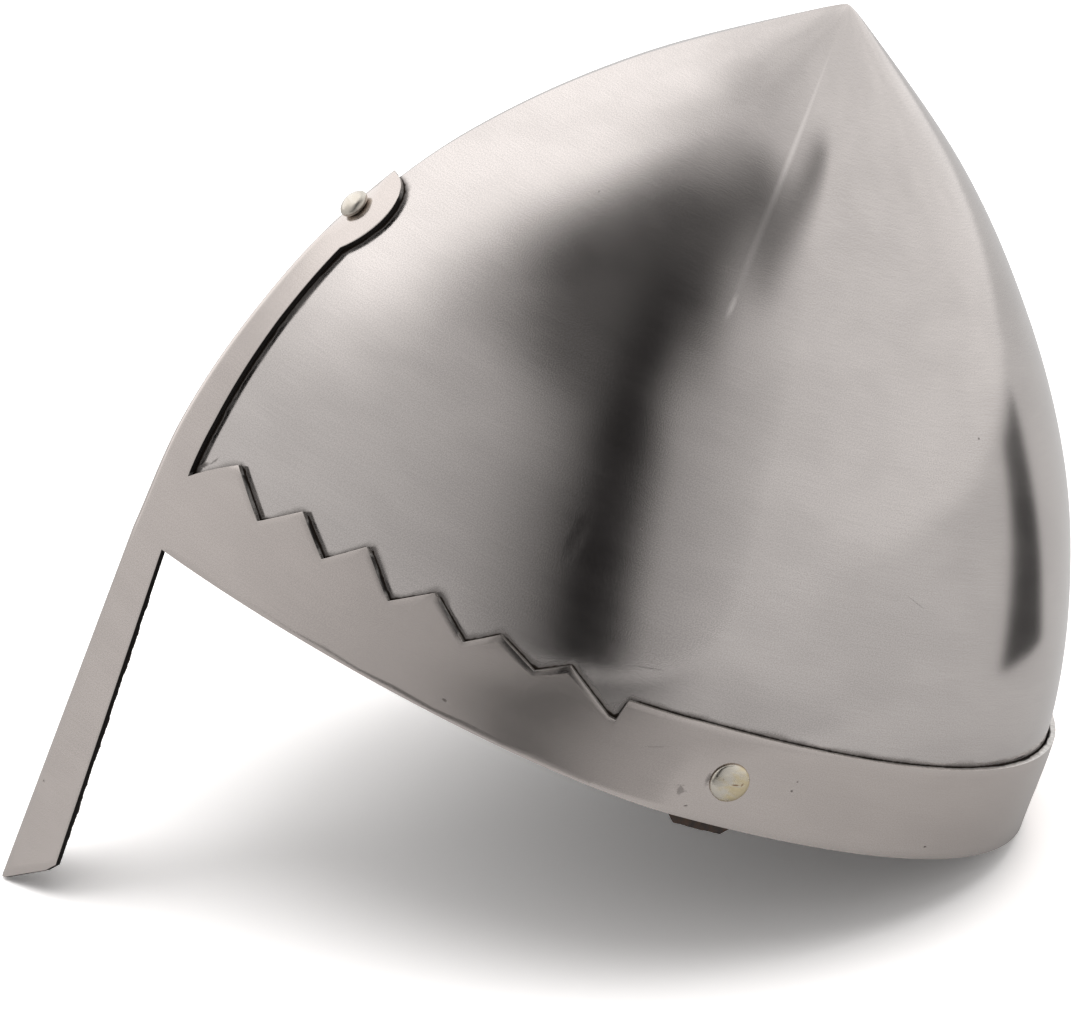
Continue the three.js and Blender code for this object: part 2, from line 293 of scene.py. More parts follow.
    @property
    def tilt(self) -> float:
        """Angle by which the helmet tips forward, in radians."""
        length = self.rears[0] - self.fronts[0] - self.nasal_lean
        return math.atan2(self.nasal_drop, length + self.band_inner + self.band_outer)

    def _tipped(self, points: Array) -> Array:
        """Points turned by the tilt, still in millimetres.

        Args:
            points: places or directions.

        Returns:
            The same, tipped forward.
        """
        cosine, sine = math.cos(self.tilt), math.sin(self.tilt)
        x, y, z = points[..., 0], points[..., 1], points[..., 2]
        return np.stack([x, y * cosine + z * sine, z * cosine - y * sine], axis=-1)

    def to_row(self, points: Array) -> Array:
        """Points of the helmet's own frame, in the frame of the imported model.

        Args:
            points: places in millimetres.

        Returns:
            The same places in metres, as the helmet lies.
        """
        foot = self.point(0.0, -self.nasal_drop)
        ahead = self.normal(np.array(0.0), np.array(-self.nasal_drop))
        outer_tip = self._tipped(foot + self.band_outer * ahead)
        inner_tip = self._tipped(foot + self.band_inner * ahead)
        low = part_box("brow_band")[0]
        shift = np.array([0.0, low.y - outer_tip[1] * MM, low.z - inner_tip[2] * MM])
        return self._tipped(np.asarray(points, float)) * MM + shift

    def row_normal(self, normals: Array) -> Array:
        """Directions of the helmet's own frame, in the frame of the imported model."""
        return self._tipped(np.asarray(normals, float))


FORM = HelmetForm()


def deselect() -> None:
    """Leaves edit mode, if it is on, and deselects every object."""
    if bpy.context.object and bpy.context.object.mode != "OBJECT":
        bpy.ops.object.mode_set(mode="OBJECT")
    bpy.ops.object.select_all(action="DESELECT")


def activate(piece: bpy.types.Object) -> None:
    """Makes a piece the only selected object and the active one.

    Args:
        piece: the piece.
    """
    deselect()
    piece.select_set(True)
    bpy.context.view_layer.objects.active = piece


def laid_grid(
    name: str,
    points: Array,
    uv: Array,
    material: bpy.types.Material,
    values: dict[str, Array] | None = None,
) -> bpy.types.Object:
    """A grid primitive whose vertices are laid on given points.

    Args:
        name: the object's name.
        points: places in the helmet's own frame, by column and row.
        uv: the UV map's values in millimetres, by column and row.
        material: the finish of the grid's faces.
        values: further numbers that the finish reads, by name, each by column and row.

    Returns:
        The new object.
    """
    columns, rows = points.shape[0] - 1, points.shape[1] - 1
    deselect()
    bpy.ops.mesh.primitive_grid_add(x_subdivisions=columns, y_subdivisions=rows, size=2)
    piece = bpy.context.object
    piece.name = name
    mesh = piece.data
    flat = np.zeros(len(mesh.vertices) * 3, np.float32)
    mesh.vertices.foreach_get("co", flat)
    flat = flat.reshape(-1, 3)
    column = np.rint((flat[:, 0] + 1) / 2 * columns).astype(int)
    row = np.rint((flat[:, 1] + 1) / 2 * rows).astype(int)
    placed = FORM.to_row(points[column, row])
    mesh.vertices.foreach_set("co", placed.astype(np.float32).ravel())
    corners = np.zeros(len(mesh.loops), np.int32)
    mesh.loops.foreach_get("vertex_index", corners)
    laid = uv[column[corners], row[corners]] * MM
    mesh.uv_layers[0].data.foreach_set("uv", laid.astype(np.float32).ravel())
    for label, numbers in (values or {}).items():
        attribute = mesh.attributes.new(label, "FLOAT", "CORNER")
        read = numbers[column[corners], row[corners]]
        attribute.data.foreach_set("value", read.astype(np.float32))
    mesh.materials.append(material)
    mesh.update()
    return piece


def merged(name: str, parts: list[bpy.types.Object]) -> bpy.types.Object:
    """Joins parts that share their borders into one closed mesh.

    Args:
        name: the name of the whole.
        parts: the objects to join.

    Returns:
        The joined object, with merged borders and outward normals.
    """
    deselect()
    for part in parts:
        part.select_set(True)
    bpy.context.view_layer.objects.active = parts[0]
    bpy.ops.object.join()
    piece = bpy.context.object
    piece.name = name
    piece.data.name = name
    bpy.ops.object.mode_set(mode="EDIT")
    bpy.ops.mesh.select_all(action="SELECT")
    bpy.ops.mesh.remove_doubles(threshold=MERGE_DISTANCE)
    bpy.ops.mesh.dissolve_degenerate(threshold=MERGE_DISTANCE)
    bpy.ops.mesh.select_all(action="SELECT")
    bpy.ops.mesh.normals_make_consistent(inside=False)
    bpy.ops.object.mode_set(mode="OBJECT")
    return piece


def along(line: Array) -> Array:
    """Length along a line of points, from its first point to each."""
    steps = np.linalg.norm(np.diff(line, axis=0), axis=-1)
    return np.concatenate([[0.0], np.cumsum(steps)])


def border(block: Array) -> Array:
    """The closed line round a block of rows and columns, with its first corner again at the end."""
    return np.concatenate([block[:, 0], block[-1, 1:], block[-2::-1, -1], block[0, -2::-1]])


def ragged(place: Array, seed: float) -> Array:
    """An uneven line between -1 and 1, as a blunt knife or a worn edge leaves it.

    Args:
        place: distances along the edge, in millimetres.
        seed: shifts the line, so that no two edges are alike.

    Returns:
        The line's value at each place.
    """
    total = sum(
        height * np.sin(place * pitch + seed * (index + 1) * RAGGED_SHIFT)
        for index, (pitch, height) in enumerate(RAGGED_WAVES)
    )
    return total / sum(height for _, height in RAGGED_WAVES)


def walled_sheet(
    name: str,
    plan: Array,
    faces: tuple[float, float],
    uv: Array,
    material: bpy.types.Material,
) -> bpy.types.Object:
    """A closed sheet between two faces that follow the skull's surface.

    Args:
        name: the piece's name.
        plan: station and height, by column and row.
        faces: how far the outer and the inner face lie out from the skull.
        uv: the UV map's values in millimetres, by column and row.
        material: the sheet's finish.

    Returns:
        The new object.
    """
    sheets = [FORM.offset(plan[..., 0], plan[..., 1], face) for face in faces]
    parts = [laid_grid(f"{name}_face", sheet, uv, material) for sheet in sheets]
    walls = np.stack([border(sheet) for sheet in sheets], axis=1)
    length = along(walls[:, 0])
    depth = np.array([0.0, faces[0] - faces[1]])
    wall_uv = np.stack(np.broadcast_arrays(length[:, None], depth[None, :]), axis=-1)
    parts.append(laid_grid(f"{name}_wall", walls, wall_uv, material))
    return merged(name, parts)


def apply_modifiers(piece: bpy.types.Object) -> None:
    """Applies every modifier of a piece, in order.

    Args:
        piece: the piece.
    """
    activate(piece)
    for modifier in list(piece.modifiers):
        bpy.ops.object.modifier_apply(modifier=modifier.name)


def soften(piece: bpy.types.Object, width: float, angle: float = SHARP_ANGLE) -> None:
    """Rounds a piece's sharp edges with two facets and shades the rest smoothly.

    Args:
        piece: the piece.
        width: width of the rounding, in millimetres.
        angle: edges that turn by more than this many degrees are rounded.
    """
    bevel = piece.modifiers.new("rounding", "BEVEL")
    bevel.width = width * MM
    bevel.segments = 2
    bevel.limit_method = "ANGLE"
    bevel.angle_limit = math.radians(angle)
    apply_modifiers(piece)
    bpy.ops.object.shade_smooth_by_angle(angle=math.radians(SMOOTH_ANGLE))


def dress(piece: bpy.types.Object, node: str) -> None:
    """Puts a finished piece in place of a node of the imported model.

    Args:
        piece: the piece.
        node: the node that it stands for.
    """
    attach(piece, "root")
    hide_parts(node)
    LOG.info("%s stands for %s, %d faces", piece.name, node, len(piece.data.polygons))


class Wiring:
    """A node tree that is filled node by node."""

    def __init__(self, tree: bpy.types.NodeTree) -> None:
        """Takes the tree that is filled."""
        self.tree = tree

    def node(
        self, kind: str, inputs: dict[str | int, object] | None = None, **settings: object
    ) -> bpy.types.Node:
        """Adds a node.

        Args:
            kind: the node's type.
            inputs: for each input, an output to link to it or its own value.
            **settings: the node's properties.

        Returns:
            The node.
        """
        node = self.tree.nodes.new(kind)
        for label, setting in settings.items():
            setattr(node, label, setting)
        for label, value in (inputs or {}).items():
            self.feed(node.inputs[label], value)
        return node

    def feed(self, socket: Socket, value: object) -> None:
        """Fills one input.

        Args:
            socket: the input.
            value: an output to link to it, or its own value.
        """
        if isinstance(value, bpy.types.NodeSocket):
            self.tree.links.new(value, socket)
        else:
            socket.default_value = value

    def maths(self, operation: str, first: object, second: object = 0.0) -> Socket:
        """The result of one sum on two numbers."""
        return self.node("ShaderNodeMath", {0: first, 1: second}, operation=operation).outputs[0]

    def vector(self, operation: str, first: object, second: object) -> Socket:
        """The result of one sum on two vectors."""
        node = self.node("ShaderNodeVectorMath", {0: first, 1: second}, operation=operation)
        return node.outputs["Value" if operation in ("LENGTH", "DOT_PRODUCT") else "Vector"]

    def ease(
        self, value: object, start: object, end: object, low: float = 0.0, high: float = 1.0
    ) -> Socket:
        """A smooth step.

        Args:
            value: the number that is read.
            start: where the step begins.
            end: where it is done; it may lie below the start.
            low: the result before the step.
            high: the result after it.

        Returns:
            The result.
        """
        inputs = {"Value": value, "From Min": start, "From Max": end, "To Min": low, "To Max": high}
        return self.node("ShaderNodeMapRange", inputs, interpolation_type="SMOOTHSTEP").outputs[0]

    def blend(self, share: object, low: object, high: object, kind: str = "MIX") -> Socket:
        """A mix of two colours.

        Args:
            share: how much of the second colour there is.
            low: the first colour, as an output or as three numbers.
            high: the second colour.
            kind: the way in which they are mixed.

        Returns:
            The colour.
        """
        pair = [(*colour, 1.0) if isinstance(colour, tuple) else colour for colour in (low, high)]
        inputs = {0: share, 6: pair[0], 7: pair[1]}
        return self.node("ShaderNodeMix", inputs, data_type="RGBA", blend_type=kind).outputs[2]

    def noise(self, vector: object, scale: float, detail: float = 2.0) -> Socket:
        """Cloudy noise between 0 and 1."""
        inputs = {"Vector": vector, "Scale": scale, "Detail": detail}
        return self.node("ShaderNodeTexNoise", inputs).outputs[0]

    def centred(self, value: Socket) -> Socket:
        """A number from 0 to 1, moved so that it lies round 0."""
        return self.maths("SUBTRACT", value, 0.5)

    def group(self, tree: bpy.types.NodeTree, inputs: dict[str, object]) -> bpy.types.bpy_prop_collection:
        """The outputs of a node group that is given its inputs."""
        return self.node("ShaderNodeGroup", inputs, node_tree=tree).outputs

    def bump(self, relief: Relief, height: Socket, normal: Socket | None = None) -> Socket:
        """A normal that follows a height.

        Args:
            relief: how strong and how deep the height is.
            height: the height, from 0 to 1.
            normal: the normal below it, if there is one.

        Returns:
            The normal.
        """
        inputs = {"Strength": relief.strength, "Distance": relief.depth * MM, "Height": height}
        if normal:
            inputs["Normal"] = normal
        return self.node("ShaderNodeBump", inputs).outputs[0]


def shader_group(
    name: str, inputs: dict[str, str], outputs: list[str]
) -> tuple[Wiring, dict[str, Socket], bpy.types.Node]:
    """An empty shader node group that puts out numbers.

    Args:
        name: the group's name.
        inputs: the kind of each input, by name.
        outputs: the outputs' names.

    Returns:
        The group's wiring, its inputs' sockets by name and its output node.
    """
    tree = bpy.data.node_groups.new(name, "ShaderNodeTree")
    for label, kind in inputs.items():
        tree.interface.new_socket(label, in_out="INPUT", socket_type=f"NodeSocket{kind}")
    for label in outputs:
        tree.interface.new_socket(label, in_out="OUTPUT", socket_type="NodeSocketFloat")
    wiring = Wiring(tree)
    given = wiring.node("NodeGroupInput")
    result = wiring.node("NodeGroupOutput")
    return wiring, {socket.name: socket for socket in given.outputs}, result


@dataclass
class Effects:
    """The shared effects, each a node group that is built once."""

    speckle_stretch: float = 1.6
    cloud_stretch: float = 2.5
    stroke_range: tuple[float, float] = (0.3, 0.7)
    fine_scale: float = 900.0
    broad_scale: float = 85.0
    unevenness: float = 0.5
    smear_range: tuple[float, float] = (0.3, 0.75)
    shortest_smear: float = 0.35
    fibre_scale: float = 2.4
    fibre_detail: float = 4.0
    wear_scale: float = 0.35
    wear_detail: float = 3.0
    wear_range: tuple[float, float] = (0.35, 0.7)

    def __post_init__(self) -> None:
        """Builds every group."""
        self.strokes = self._strokes()
        self.mark = self._mark()
        self.residue = self._seam_shade_and_residue()
        self.hide_grain = self._hide_grain()

    def _strokes(self) -> bpy.types.NodeTree:
        """Fine strokes along one direction and the slow clouds that polishing leaves between them.

        Returns:
            The group.
        """
        kinds = {"Vector": "Vector", "Length": "Float", "Width": "Float", "Speckle": "Float"}
        wiring, given, result = shader_group(
            "grinding_strokes", {**kinds, "Cloud Size": "Float"}, ["Strokes", "Clouds"]
        )
        width, cloud = given["Width"], given["Cloud Size"]
        lengths = {
            "strokes": (given["Length"], width, 2.0),
            "speckle": (wiring.maths("MULTIPLY", width, self.speckle_stretch), width, 0.0),
            "clouds": (wiring.maths("MULTIPLY", cloud, self.cloud_stretch), cloud, 2.0),
        }
        drawn = {}
        for label, (along_arc, upright, detail) in lengths.items():
            size = wiring.node("ShaderNodeCombineXYZ", {0: along_arc, 1: upright, 2: 1.0}).outputs[0]
            drawn[label] = wiring.noise(wiring.vector("DIVIDE", given["Vector"], size), 1.0, detail)
        inputs = {0: given["Speckle"], 2: drawn["strokes"], 3: drawn["speckle"]}
        mixed = wiring.node("ShaderNodeMix", inputs).outputs[0]
        wiring.feed(result.inputs["Strokes"], wiring.ease(mixed, *self.stroke_range))
        wiring.feed(result.inputs["Clouds"], wiring.ease(drawn["clouds"], *self.stroke_range))
        return wiring.tree

    def _mark(self) -> bpy.types.NodeTree:
        """One oval mark with an uneven outline.

        Returns:
            The group.
        """
        kinds = {"Vector": "Vector", "Wobble": "Float", "Place": "Vector", "Size": "Vector"}
        wiring, given, result = shader_group(
            "single_mark", {**kinds, "Turn": "Float", "Uneven": "Float", "Core": "Float"}, ["Mask"]
        )
        aside = wiring.vector("SUBTRACT", given["Vector"], given["Place"])
        inputs = {"Vector": aside, "Angle": given["Turn"]}
        turned = wiring.node("ShaderNodeVectorRotate", inputs, rotation_type="Z_AXIS").outputs[0]
        share = wiring.vector("DIVIDE", turned, given["Size"])
        reach = wiring.vector("LENGTH", share, (0.0, 0.0, 0.0))
        edge = wiring.maths("ADD", reach, wiring.maths("MULTIPLY", given["Wobble"], given["Uneven"]))
        wiring.feed(result.inputs["Mask"], wiring.ease(edge, 1.0, given["Core"]))
        return wiring.tree

    def _seam_shade_and_residue(self) -> bpy.types.NodeTree:
        """Black along a seam: a line that is painted shade of the gap there together with the residue
        that fills it, and residue that smears out of it here and there.

        Returns:
            The group.
        """
        kinds = {"Vector": "Vector", "Distance": "Float", "Line": "Float", "Smear": "Float"}
        wiring, given, result = shader_group("seam_shade_and_residue", kinds, ["Line", "Smear"])
        fine = wiring.noise(given["Vector"], self.fine_scale)
        broad = wiring.noise(given["Vector"], self.broad_scale)
        uneven = wiring.maths("MULTIPLY", wiring.centred(fine), self.unevenness)
        near = wiring.maths("ADD", given["Distance"], uneven)
        wiring.feed(result.inputs["Line"], wiring.ease(near, given["Line"], 0.0))
        patches = wiring.ease(broad, *self.smear_range, self.shortest_smear, 1.0)
        reach = wiring.maths("MULTIPLY", patches, given["Smear"])
        smear = wiring.ease(wiring.maths("DIVIDE", near, reach), 1.0, 0.0)
        wiring.feed(result.inputs["Smear"], smear)
        return wiring.tree

    def _hide_grain(self) -> bpy.types.NodeTree:
        """The grain of oiled leather, with fibres where it has been cut.

        Returns:
            The group.
        """
        kinds = {"Vector": "Vector", "Grain Size": "Float"}
        wiring, given, result = shader_group("hide_grain", kinds, ["Wear", "Height"])
        grain = {axis: given["Grain Size"] for axis in range(3)}
        size = wiring.node("ShaderNodeCombineXYZ", grain).outputs[0]
        scaled = wiring.vector("DIVIDE", given["Vector"], size)
        cells = wiring.node("ShaderNodeTexVoronoi", {"Vector": scaled, "Scale": 1.0}, feature="SMOOTH_F1")
        fibres = wiring.noise(scaled, self.fibre_scale, self.fibre_detail)
        wear = wiring.noise(scaled, self.wear_scale, self.wear_detail)
        height = wiring.maths("ADD", cells.outputs["Distance"], fibres)
        wiring.feed(result.inputs["Wear"], wiring.ease(wear, *self.wear_range))
        wiring.feed(result.inputs["Height"], height)
        return wiring.tree


@dataclass(frozen=True)
class Surface:
    """What a finish is drawn on: a material's wiring, the shared effects and a place on the piece."""

    wiring: Wiring
    effects: Effects
    place: Socket

    def wobble(self) -> Socket:
        """A fine unevenness that frays the outlines of marks."""
        return self.wiring.centred(self.wiring.noise(self.place, self.effects.fine_scale))

    def strokes(self, work: Strokes, speckle: float, cloud_size: float) -> tuple[Socket, Socket]:
        """The strokes that grinding has left and the clouds between them.

        Args:
            work: how long and how wide the strokes are.
            speckle: the share of short specks among them.
            cloud_size: how wide a cloud is, in millimetres.

        Returns:
            The strokes and the clouds, each from 0 to 1.
        """
        length, width = work.value
        outputs = self.wiring.group(self.effects.strokes, {
            "Vector": self.place, "Length": length * MM, "Width": width * MM,
            "Speckle": speckle, "Cloud Size": cloud_size * MM,
        })
        return outputs["Strokes"], outputs["Clouds"]


@dataclass(frozen=True)
class Mark:
    """A small flaw on a sheet, or a painted highlight, at a place of its UV map in millimetres."""

    arc: float
    height: float
    length: float
    width: float
    turn: float = 0.0
    stain: float = 0.0
    dent: float = 0.0
    # How strong a painted highlight is in the mark's middle.
    painted_highlight: float = 0.0
    uneven: float = 0.5
    core: float = 0.3

    def mask(self, surface: Surface, wobble: Socket, strength: float) -> Socket:
        """Adds the mark to a material.

        Args:
            surface: what the mark is drawn on.
            wobble: the unevenness of its outline.
            strength: what the mask reaches in the middle of the mark.

        Returns:
            The mask.
        """
        mask = surface.wiring.group(surface.effects.mark, {
            "Vector": surface.place, "Wobble": wobble, "Place": (self.arc * MM, self.height * MM, 0.0),
            "Size": (self.length / 2 * MM, self.width / 2 * MM, 1.0),
            "Turn": -math.radians(self.turn), "Uneven": self.uneven, "Core": self.core,
        })["Mask"]
        return surface.wiring.maths("MULTIPLY", mask, strength)


def fresh_material(name: str) -> tuple[bpy.types.Material, Wiring, bpy.types.Node]:
    """A new material.

    Args:
        name: its name.

    Returns:
        The material, its wiring and its Principled shader.
    """
    material = bpy.data.materials.new(name)
    material.use_nodes = True
    tree = material.node_tree
    return material, Wiring(tree), tree.nodes["Principled BSDF"]


def mapped_material(
    name: str, effects: Effects
) -> tuple[bpy.types.Material, Surface, bpy.types.Node]:
    """A new material that is drawn on its piece's UV map.

    Args:
        name: its name.
        effects: the shared node groups.

    Returns:
        The material, the surface that it is drawn on and its Principled shader.
    """
    material, wiring, shader = fresh_material(name)
    place = wiring.node("ShaderNodeUVMap", uv_map=UV_MAP).outputs[0]
    return material, Surface(wiring, effects, place), shader


@dataclass(frozen=True)
class GroundSteel:
    """Sheet steel, ground to a satin, with the marks and the residue that the work has left, painted
    shade along the seam and painted highlights where marks carry one.
    """

    name: str
    colour: Colour
    roughness: float
    anisotropy: float
    work: Strokes = Strokes.GROUND_AROUND
    speckle: float = 0.7
    contrast: float = 0.1
    cloud_contrast: float = 0.6
    cloud_size: float = 14.0
    shade_and_residue_line: float = 0.0
    seam_smear: float = 0.0
    smear_strength: float = 0.5
    marks: tuple[Mark, ...] = ()
    # Black of the painted seam shade, the residue and the stained marks.
    shade_and_residue_colour: Colour = (0.028, 0.020, 0.015)
    # Colour of the painted highlights.
    polished: Colour = (0.93, 0.87, 0.84)
    grain: Relief = Relief(0.12, 0.02)
    denting: Relief = Relief(1.0, 0.12)
    grain_gloss: tuple[float, float] = (0.92, 1.06)
    cloud_gloss: tuple[float, float] = (0.96, 1.06)
    metal_fade: tuple[float, float] = (0.1, 0.9)
    shade_and_residue_gloss: float = 0.1
    shade_and_residue_dulling: float = 0.45

    def material(self, effects: Effects) -> bpy.types.Material:
        """Builds the finish.

        Args:
            effects: the shared node groups.

        Returns:
            The material.
        """
        material, surface, shader = mapped_material(self.name, effects)
        wiring, wobble = surface.wiring, surface.wobble()
        tangent = wiring.node("ShaderNodeTangent", direction_type="UV_MAP", uv_map=UV_MAP)
        wiring.feed(shader.inputs["Tangent"], tangent.outputs[0])
        shader.inputs["Anisotropic"].default_value = self.anisotropy
        shader.inputs["Specular IOR Level"].default_value = self.shade_and_residue_gloss
        strokes, clouds = surface.strokes(self.work, self.speckle, self.cloud_size)
        steel = self.steel(surface, wobble, strokes, clouds)
        stain = self.stain(surface, wobble)
        wiring.feed(shader.inputs["Base Color"], wiring.blend(stain, steel, self.shade_and_residue_colour))
        wiring.feed(shader.inputs["Metallic"], wiring.ease(stain, *self.metal_fade, 1.0, 0.0))
        smooth, rough = (self.roughness * gloss for gloss in self.grain_gloss)
        grain = wiring.ease(strokes, 0.0, 1.0, smooth, rough)
        ground = wiring.maths("MULTIPLY", grain, wiring.ease(clouds, 0.0, 1.0, *self.cloud_gloss))
        dull = wiring.maths("MULTIPLY", stain, self.shade_and_residue_dulling)
        wiring.feed(shader.inputs["Roughness"], wiring.maths("ADD", ground, dull))
        fine = wiring.bump(self.grain, strokes)
        deep = wiring.bump(self.denting, self.dents(surface, wobble), fine)
        wiring.feed(shader.inputs["Normal"], deep)
        return material

    def steel(self, surface: Surface, wobble: Socket, strokes: Socket, clouds: Socket) -> Socket:
        """The bare steel's colour, with painted highlights in a lighter colour where marks carry one.

        Args:
            surface: what the finish is drawn on.
            wobble: the unevenness of the marks' outlines.
            strokes: the grinding strokes.
            clouds: the clouds between them.

        Returns:
            The colour.
        """
        wiring = surface.wiring
        dark = tuple(part * (1 - self.contrast) for part in self.colour)
        light = tuple(part * (1 + self.contrast) for part in self.colour)
        darkest = 1 - self.contrast * self.cloud_contrast
        cloudy = wiring.ease(clouds, 0.0, 1.0, darkest, 1.0)
        steel = wiring.blend(1.0, wiring.blend(strokes, dark, light), cloudy, "MULTIPLY")
        # Marks that carry a painted highlight are laid over the steel in a lighter colour.
        for mark in self.marks:
            if mark.painted_highlight:
                steel = wiring.blend(mark.mask(surface, wobble, mark.painted_highlight), steel, self.polished)
        return steel

    def stain(self, surface: Surface, wobble: Socket) -> Socket:
        """How black the surface is: the seam line, which is painted shade of the gap along the band's
        edge together with the residue in it, the residue's smears and the stained marks.

        Args:
            surface: what the finish is drawn on.
            wobble: the unevenness of the marks' outlines.

        Returns:
            A mask that is 1 where the surface is black.
        """
        wiring = surface.wiring
        stain = wiring.node("ShaderNodeValue").outputs[0]
        # The seam line is painted shade of the gap together with residue; the smears are residue alone.
        if self.shade_and_residue_line > 0:
            seam = wiring.node("ShaderNodeAttribute", attribute_name=SEAM)
            residue = wiring.group(surface.effects.residue, {
                "Vector": surface.place, "Distance": seam.outputs["Fac"],
                "Line": self.shade_and_residue_line, "Smear": self.seam_smear,
            })
            smear = wiring.maths("MULTIPLY", residue["Smear"], self.smear_strength)
            stain = wiring.maths("MAXIMUM", residue["Line"], smear)
        for mark in self.marks:
            if mark.stain:
                stain = wiring.maths("MAXIMUM", stain, mark.mask(surface, wobble, mark.stain))
        return stain

    def dents(self, surface: Surface, wobble: Socket) -> Socket:
        """Height of the surface where marks have dented it.

        Args:
            surface: what the finish is drawn on.
            wobble: the unevenness of the marks' outlines.

        Returns:
            The height.
        """
        height = surface.wiring.node("ShaderNodeValue").outputs[0]
        for mark in self.marks:
            if mark.dent:
                dent = mark.mask(surface, wobble, -mark.dent)
                height = surface.wiring.maths("ADD", height, dent)
        return height


@dataclass(frozen=True)
class CutEdge:
    """The sheet's cut edges: bright where they were filed, black where residue has stayed and as painted
    shade low down by the skull and on the walls that face away from the ridge.
    """

    name: str = "cut_edge"
    bright: Colour = (0.74, 0.71, 0.68)
    dull: Colour = (0.42, 0.40, 0.38)
    black: Colour = (0.014, 0.012, 0.011)
    roughness: float = 0.3
    shade_and_residue_gloss: float = 0.1
    shade_and_residue_dulling: float = 0.3
    thickness: float = 1.55
    speckle: float = 0.3
    cloud_size: float = 3.0
    unevenness: float = 0.35
    # Depths where the wall goes black: painted shade in the seam, together with residue.
    shade_and_caked_depth: tuple[float, float] = (0.66, 0.95)
    shade_and_soot_strength: float = 1.25
    shade_and_soot_range: tuple[float, float] = (0.3, 0.9)
    relief: Relief = Relief(0.5, 0.05)

    def material(self, effects: Effects) -> bpy.types.Material:
        """Builds the finish from the map of each edge, whose V is the depth below the outer face.

        Args:
            effects: the shared node groups.

        Returns:
            The material.
        """
        material, surface, shader = mapped_material(self.name, effects)
        wiring = surface.wiring
        strokes, clouds = surface.strokes(Strokes.FILED_ACROSS, self.speckle, self.cloud_size)
        shader.inputs["Specular IOR Level"].default_value = self.shade_and_residue_gloss
        steel = wiring.blend(strokes, self.dull, self.bright)
        # Black low on the wall, next to the skull, and where the wall's stored value is high: painted
        # shade in the seam and on walls turned from the ridge, together with residue.
        shade_and_soot = wiring.node("ShaderNodeAttribute", attribute_name=SHADE_AND_SOOT).outputs["Fac"]
        parts = wiring.node("ShaderNodeSeparateXYZ", {0: surface.place})
        depth = wiring.maths("DIVIDE", parts.outputs[1], self.thickness * MM)
        uneven = wiring.maths("MULTIPLY", wiring.centred(clouds), self.unevenness)
        low = wiring.ease(wiring.maths("ADD", depth, uneven), *self.shade_and_caked_depth)
        shade_and_caked = wiring.maths("ADD", wiring.maths("MULTIPLY", shade_and_soot, self.shade_and_soot_strength), uneven)
        stain = wiring.maths("MAXIMUM", low, wiring.ease(shade_and_caked, *self.shade_and_soot_range))
        wiring.feed(shader.inputs["Base Color"], wiring.blend(stain, steel, self.black))
        wiring.feed(shader.inputs["Metallic"], wiring.ease(stain, 0.0, 1.0, 1.0, 0.0))
        dulled = wiring.maths("MULTIPLY", stain, self.shade_and_residue_dulling)
        wiring.feed(shader.inputs["Roughness"], wiring.maths("ADD", dulled, self.roughness))
        wiring.feed(shader.inputs["Normal"], wiring.bump(self.relief, strokes))
        return material


@dataclass(frozen=True)
class RivetSteel:
    """Polished rivet steel with a faint yellow tarnish on one side of the head."""

    name: str
    colour: Colour = (0.66, 0.62, 0.56)
    tarnish: Colour = (0.68, 0.57, 0.36)
    roughness: float = 0.2
    gloss: tuple[float, float] = (0.85, 1.3)
    speckle: float = 0.3
    cloud_size: float = 1.5
    tarnish_side: tuple[float, float] = (1.0, -0.35)
    tarnish_drift: float = 1.1
    tarnish_reach: float = 0.8
    tarnish_range: tuple[float, float] = (0.1, 0.9)
    tarnish_dulling: float = 0.12
    head_radius: float = 4.8
    marks: tuple[Mark, ...] = ()
    stain_colour: Colour = (0.24, 0.13, 0.06)
    relief: Relief = Relief(0.35, 0.06)

    def material(self, effects: Effects) -> bpy.types.Material:
        """Builds the finish from the head's own map, whose middle is the rivet's axis.

        Args:
            effects: the shared node groups.

        Returns:
            The material.
        """
        material, surface, shader = mapped_material(self.name, effects)
        wiring, wobble = surface.wiring, surface.wobble()
        strokes, clouds = surface.strokes(Strokes.POLISHED, self.speckle, self.cloud_size)
        aside = wiring.vector("DOT_PRODUCT", surface.place, (*self.tarnish_side, 0.0))
        reach = wiring.maths("DIVIDE", aside, self.head_radius * MM)
        drift = wiring.maths("MULTIPLY", wiring.centred(clouds), self.tarnish_drift)
        place = wiring.maths("ADD", reach, drift)
        share = wiring.ease(place, -self.tarnish_reach, self.tarnish_reach, *self.tarnish_range)
        steel = wiring.blend(share, self.colour, self.tarnish)
        for mark in self.marks:
            steel = wiring.blend(mark.mask(surface, wobble, mark.stain), steel, self.stain_colour)
        wiring.feed(shader.inputs["Base Color"], steel)
        shader.inputs["Metallic"].default_value = 1.0
        smooth, dull = (self.roughness * gloss for gloss in self.gloss)
        rough = wiring.ease(strokes, 0.0, 1.0, smooth, dull)
        tarnished = wiring.maths("MULTIPLY", share, self.tarnish_dulling)
        wiring.feed(shader.inputs["Roughness"], wiring.maths("ADD", rough, tarnished))
        wiring.feed(shader.inputs["Normal"], wiring.bump(self.relief, clouds))
        return material


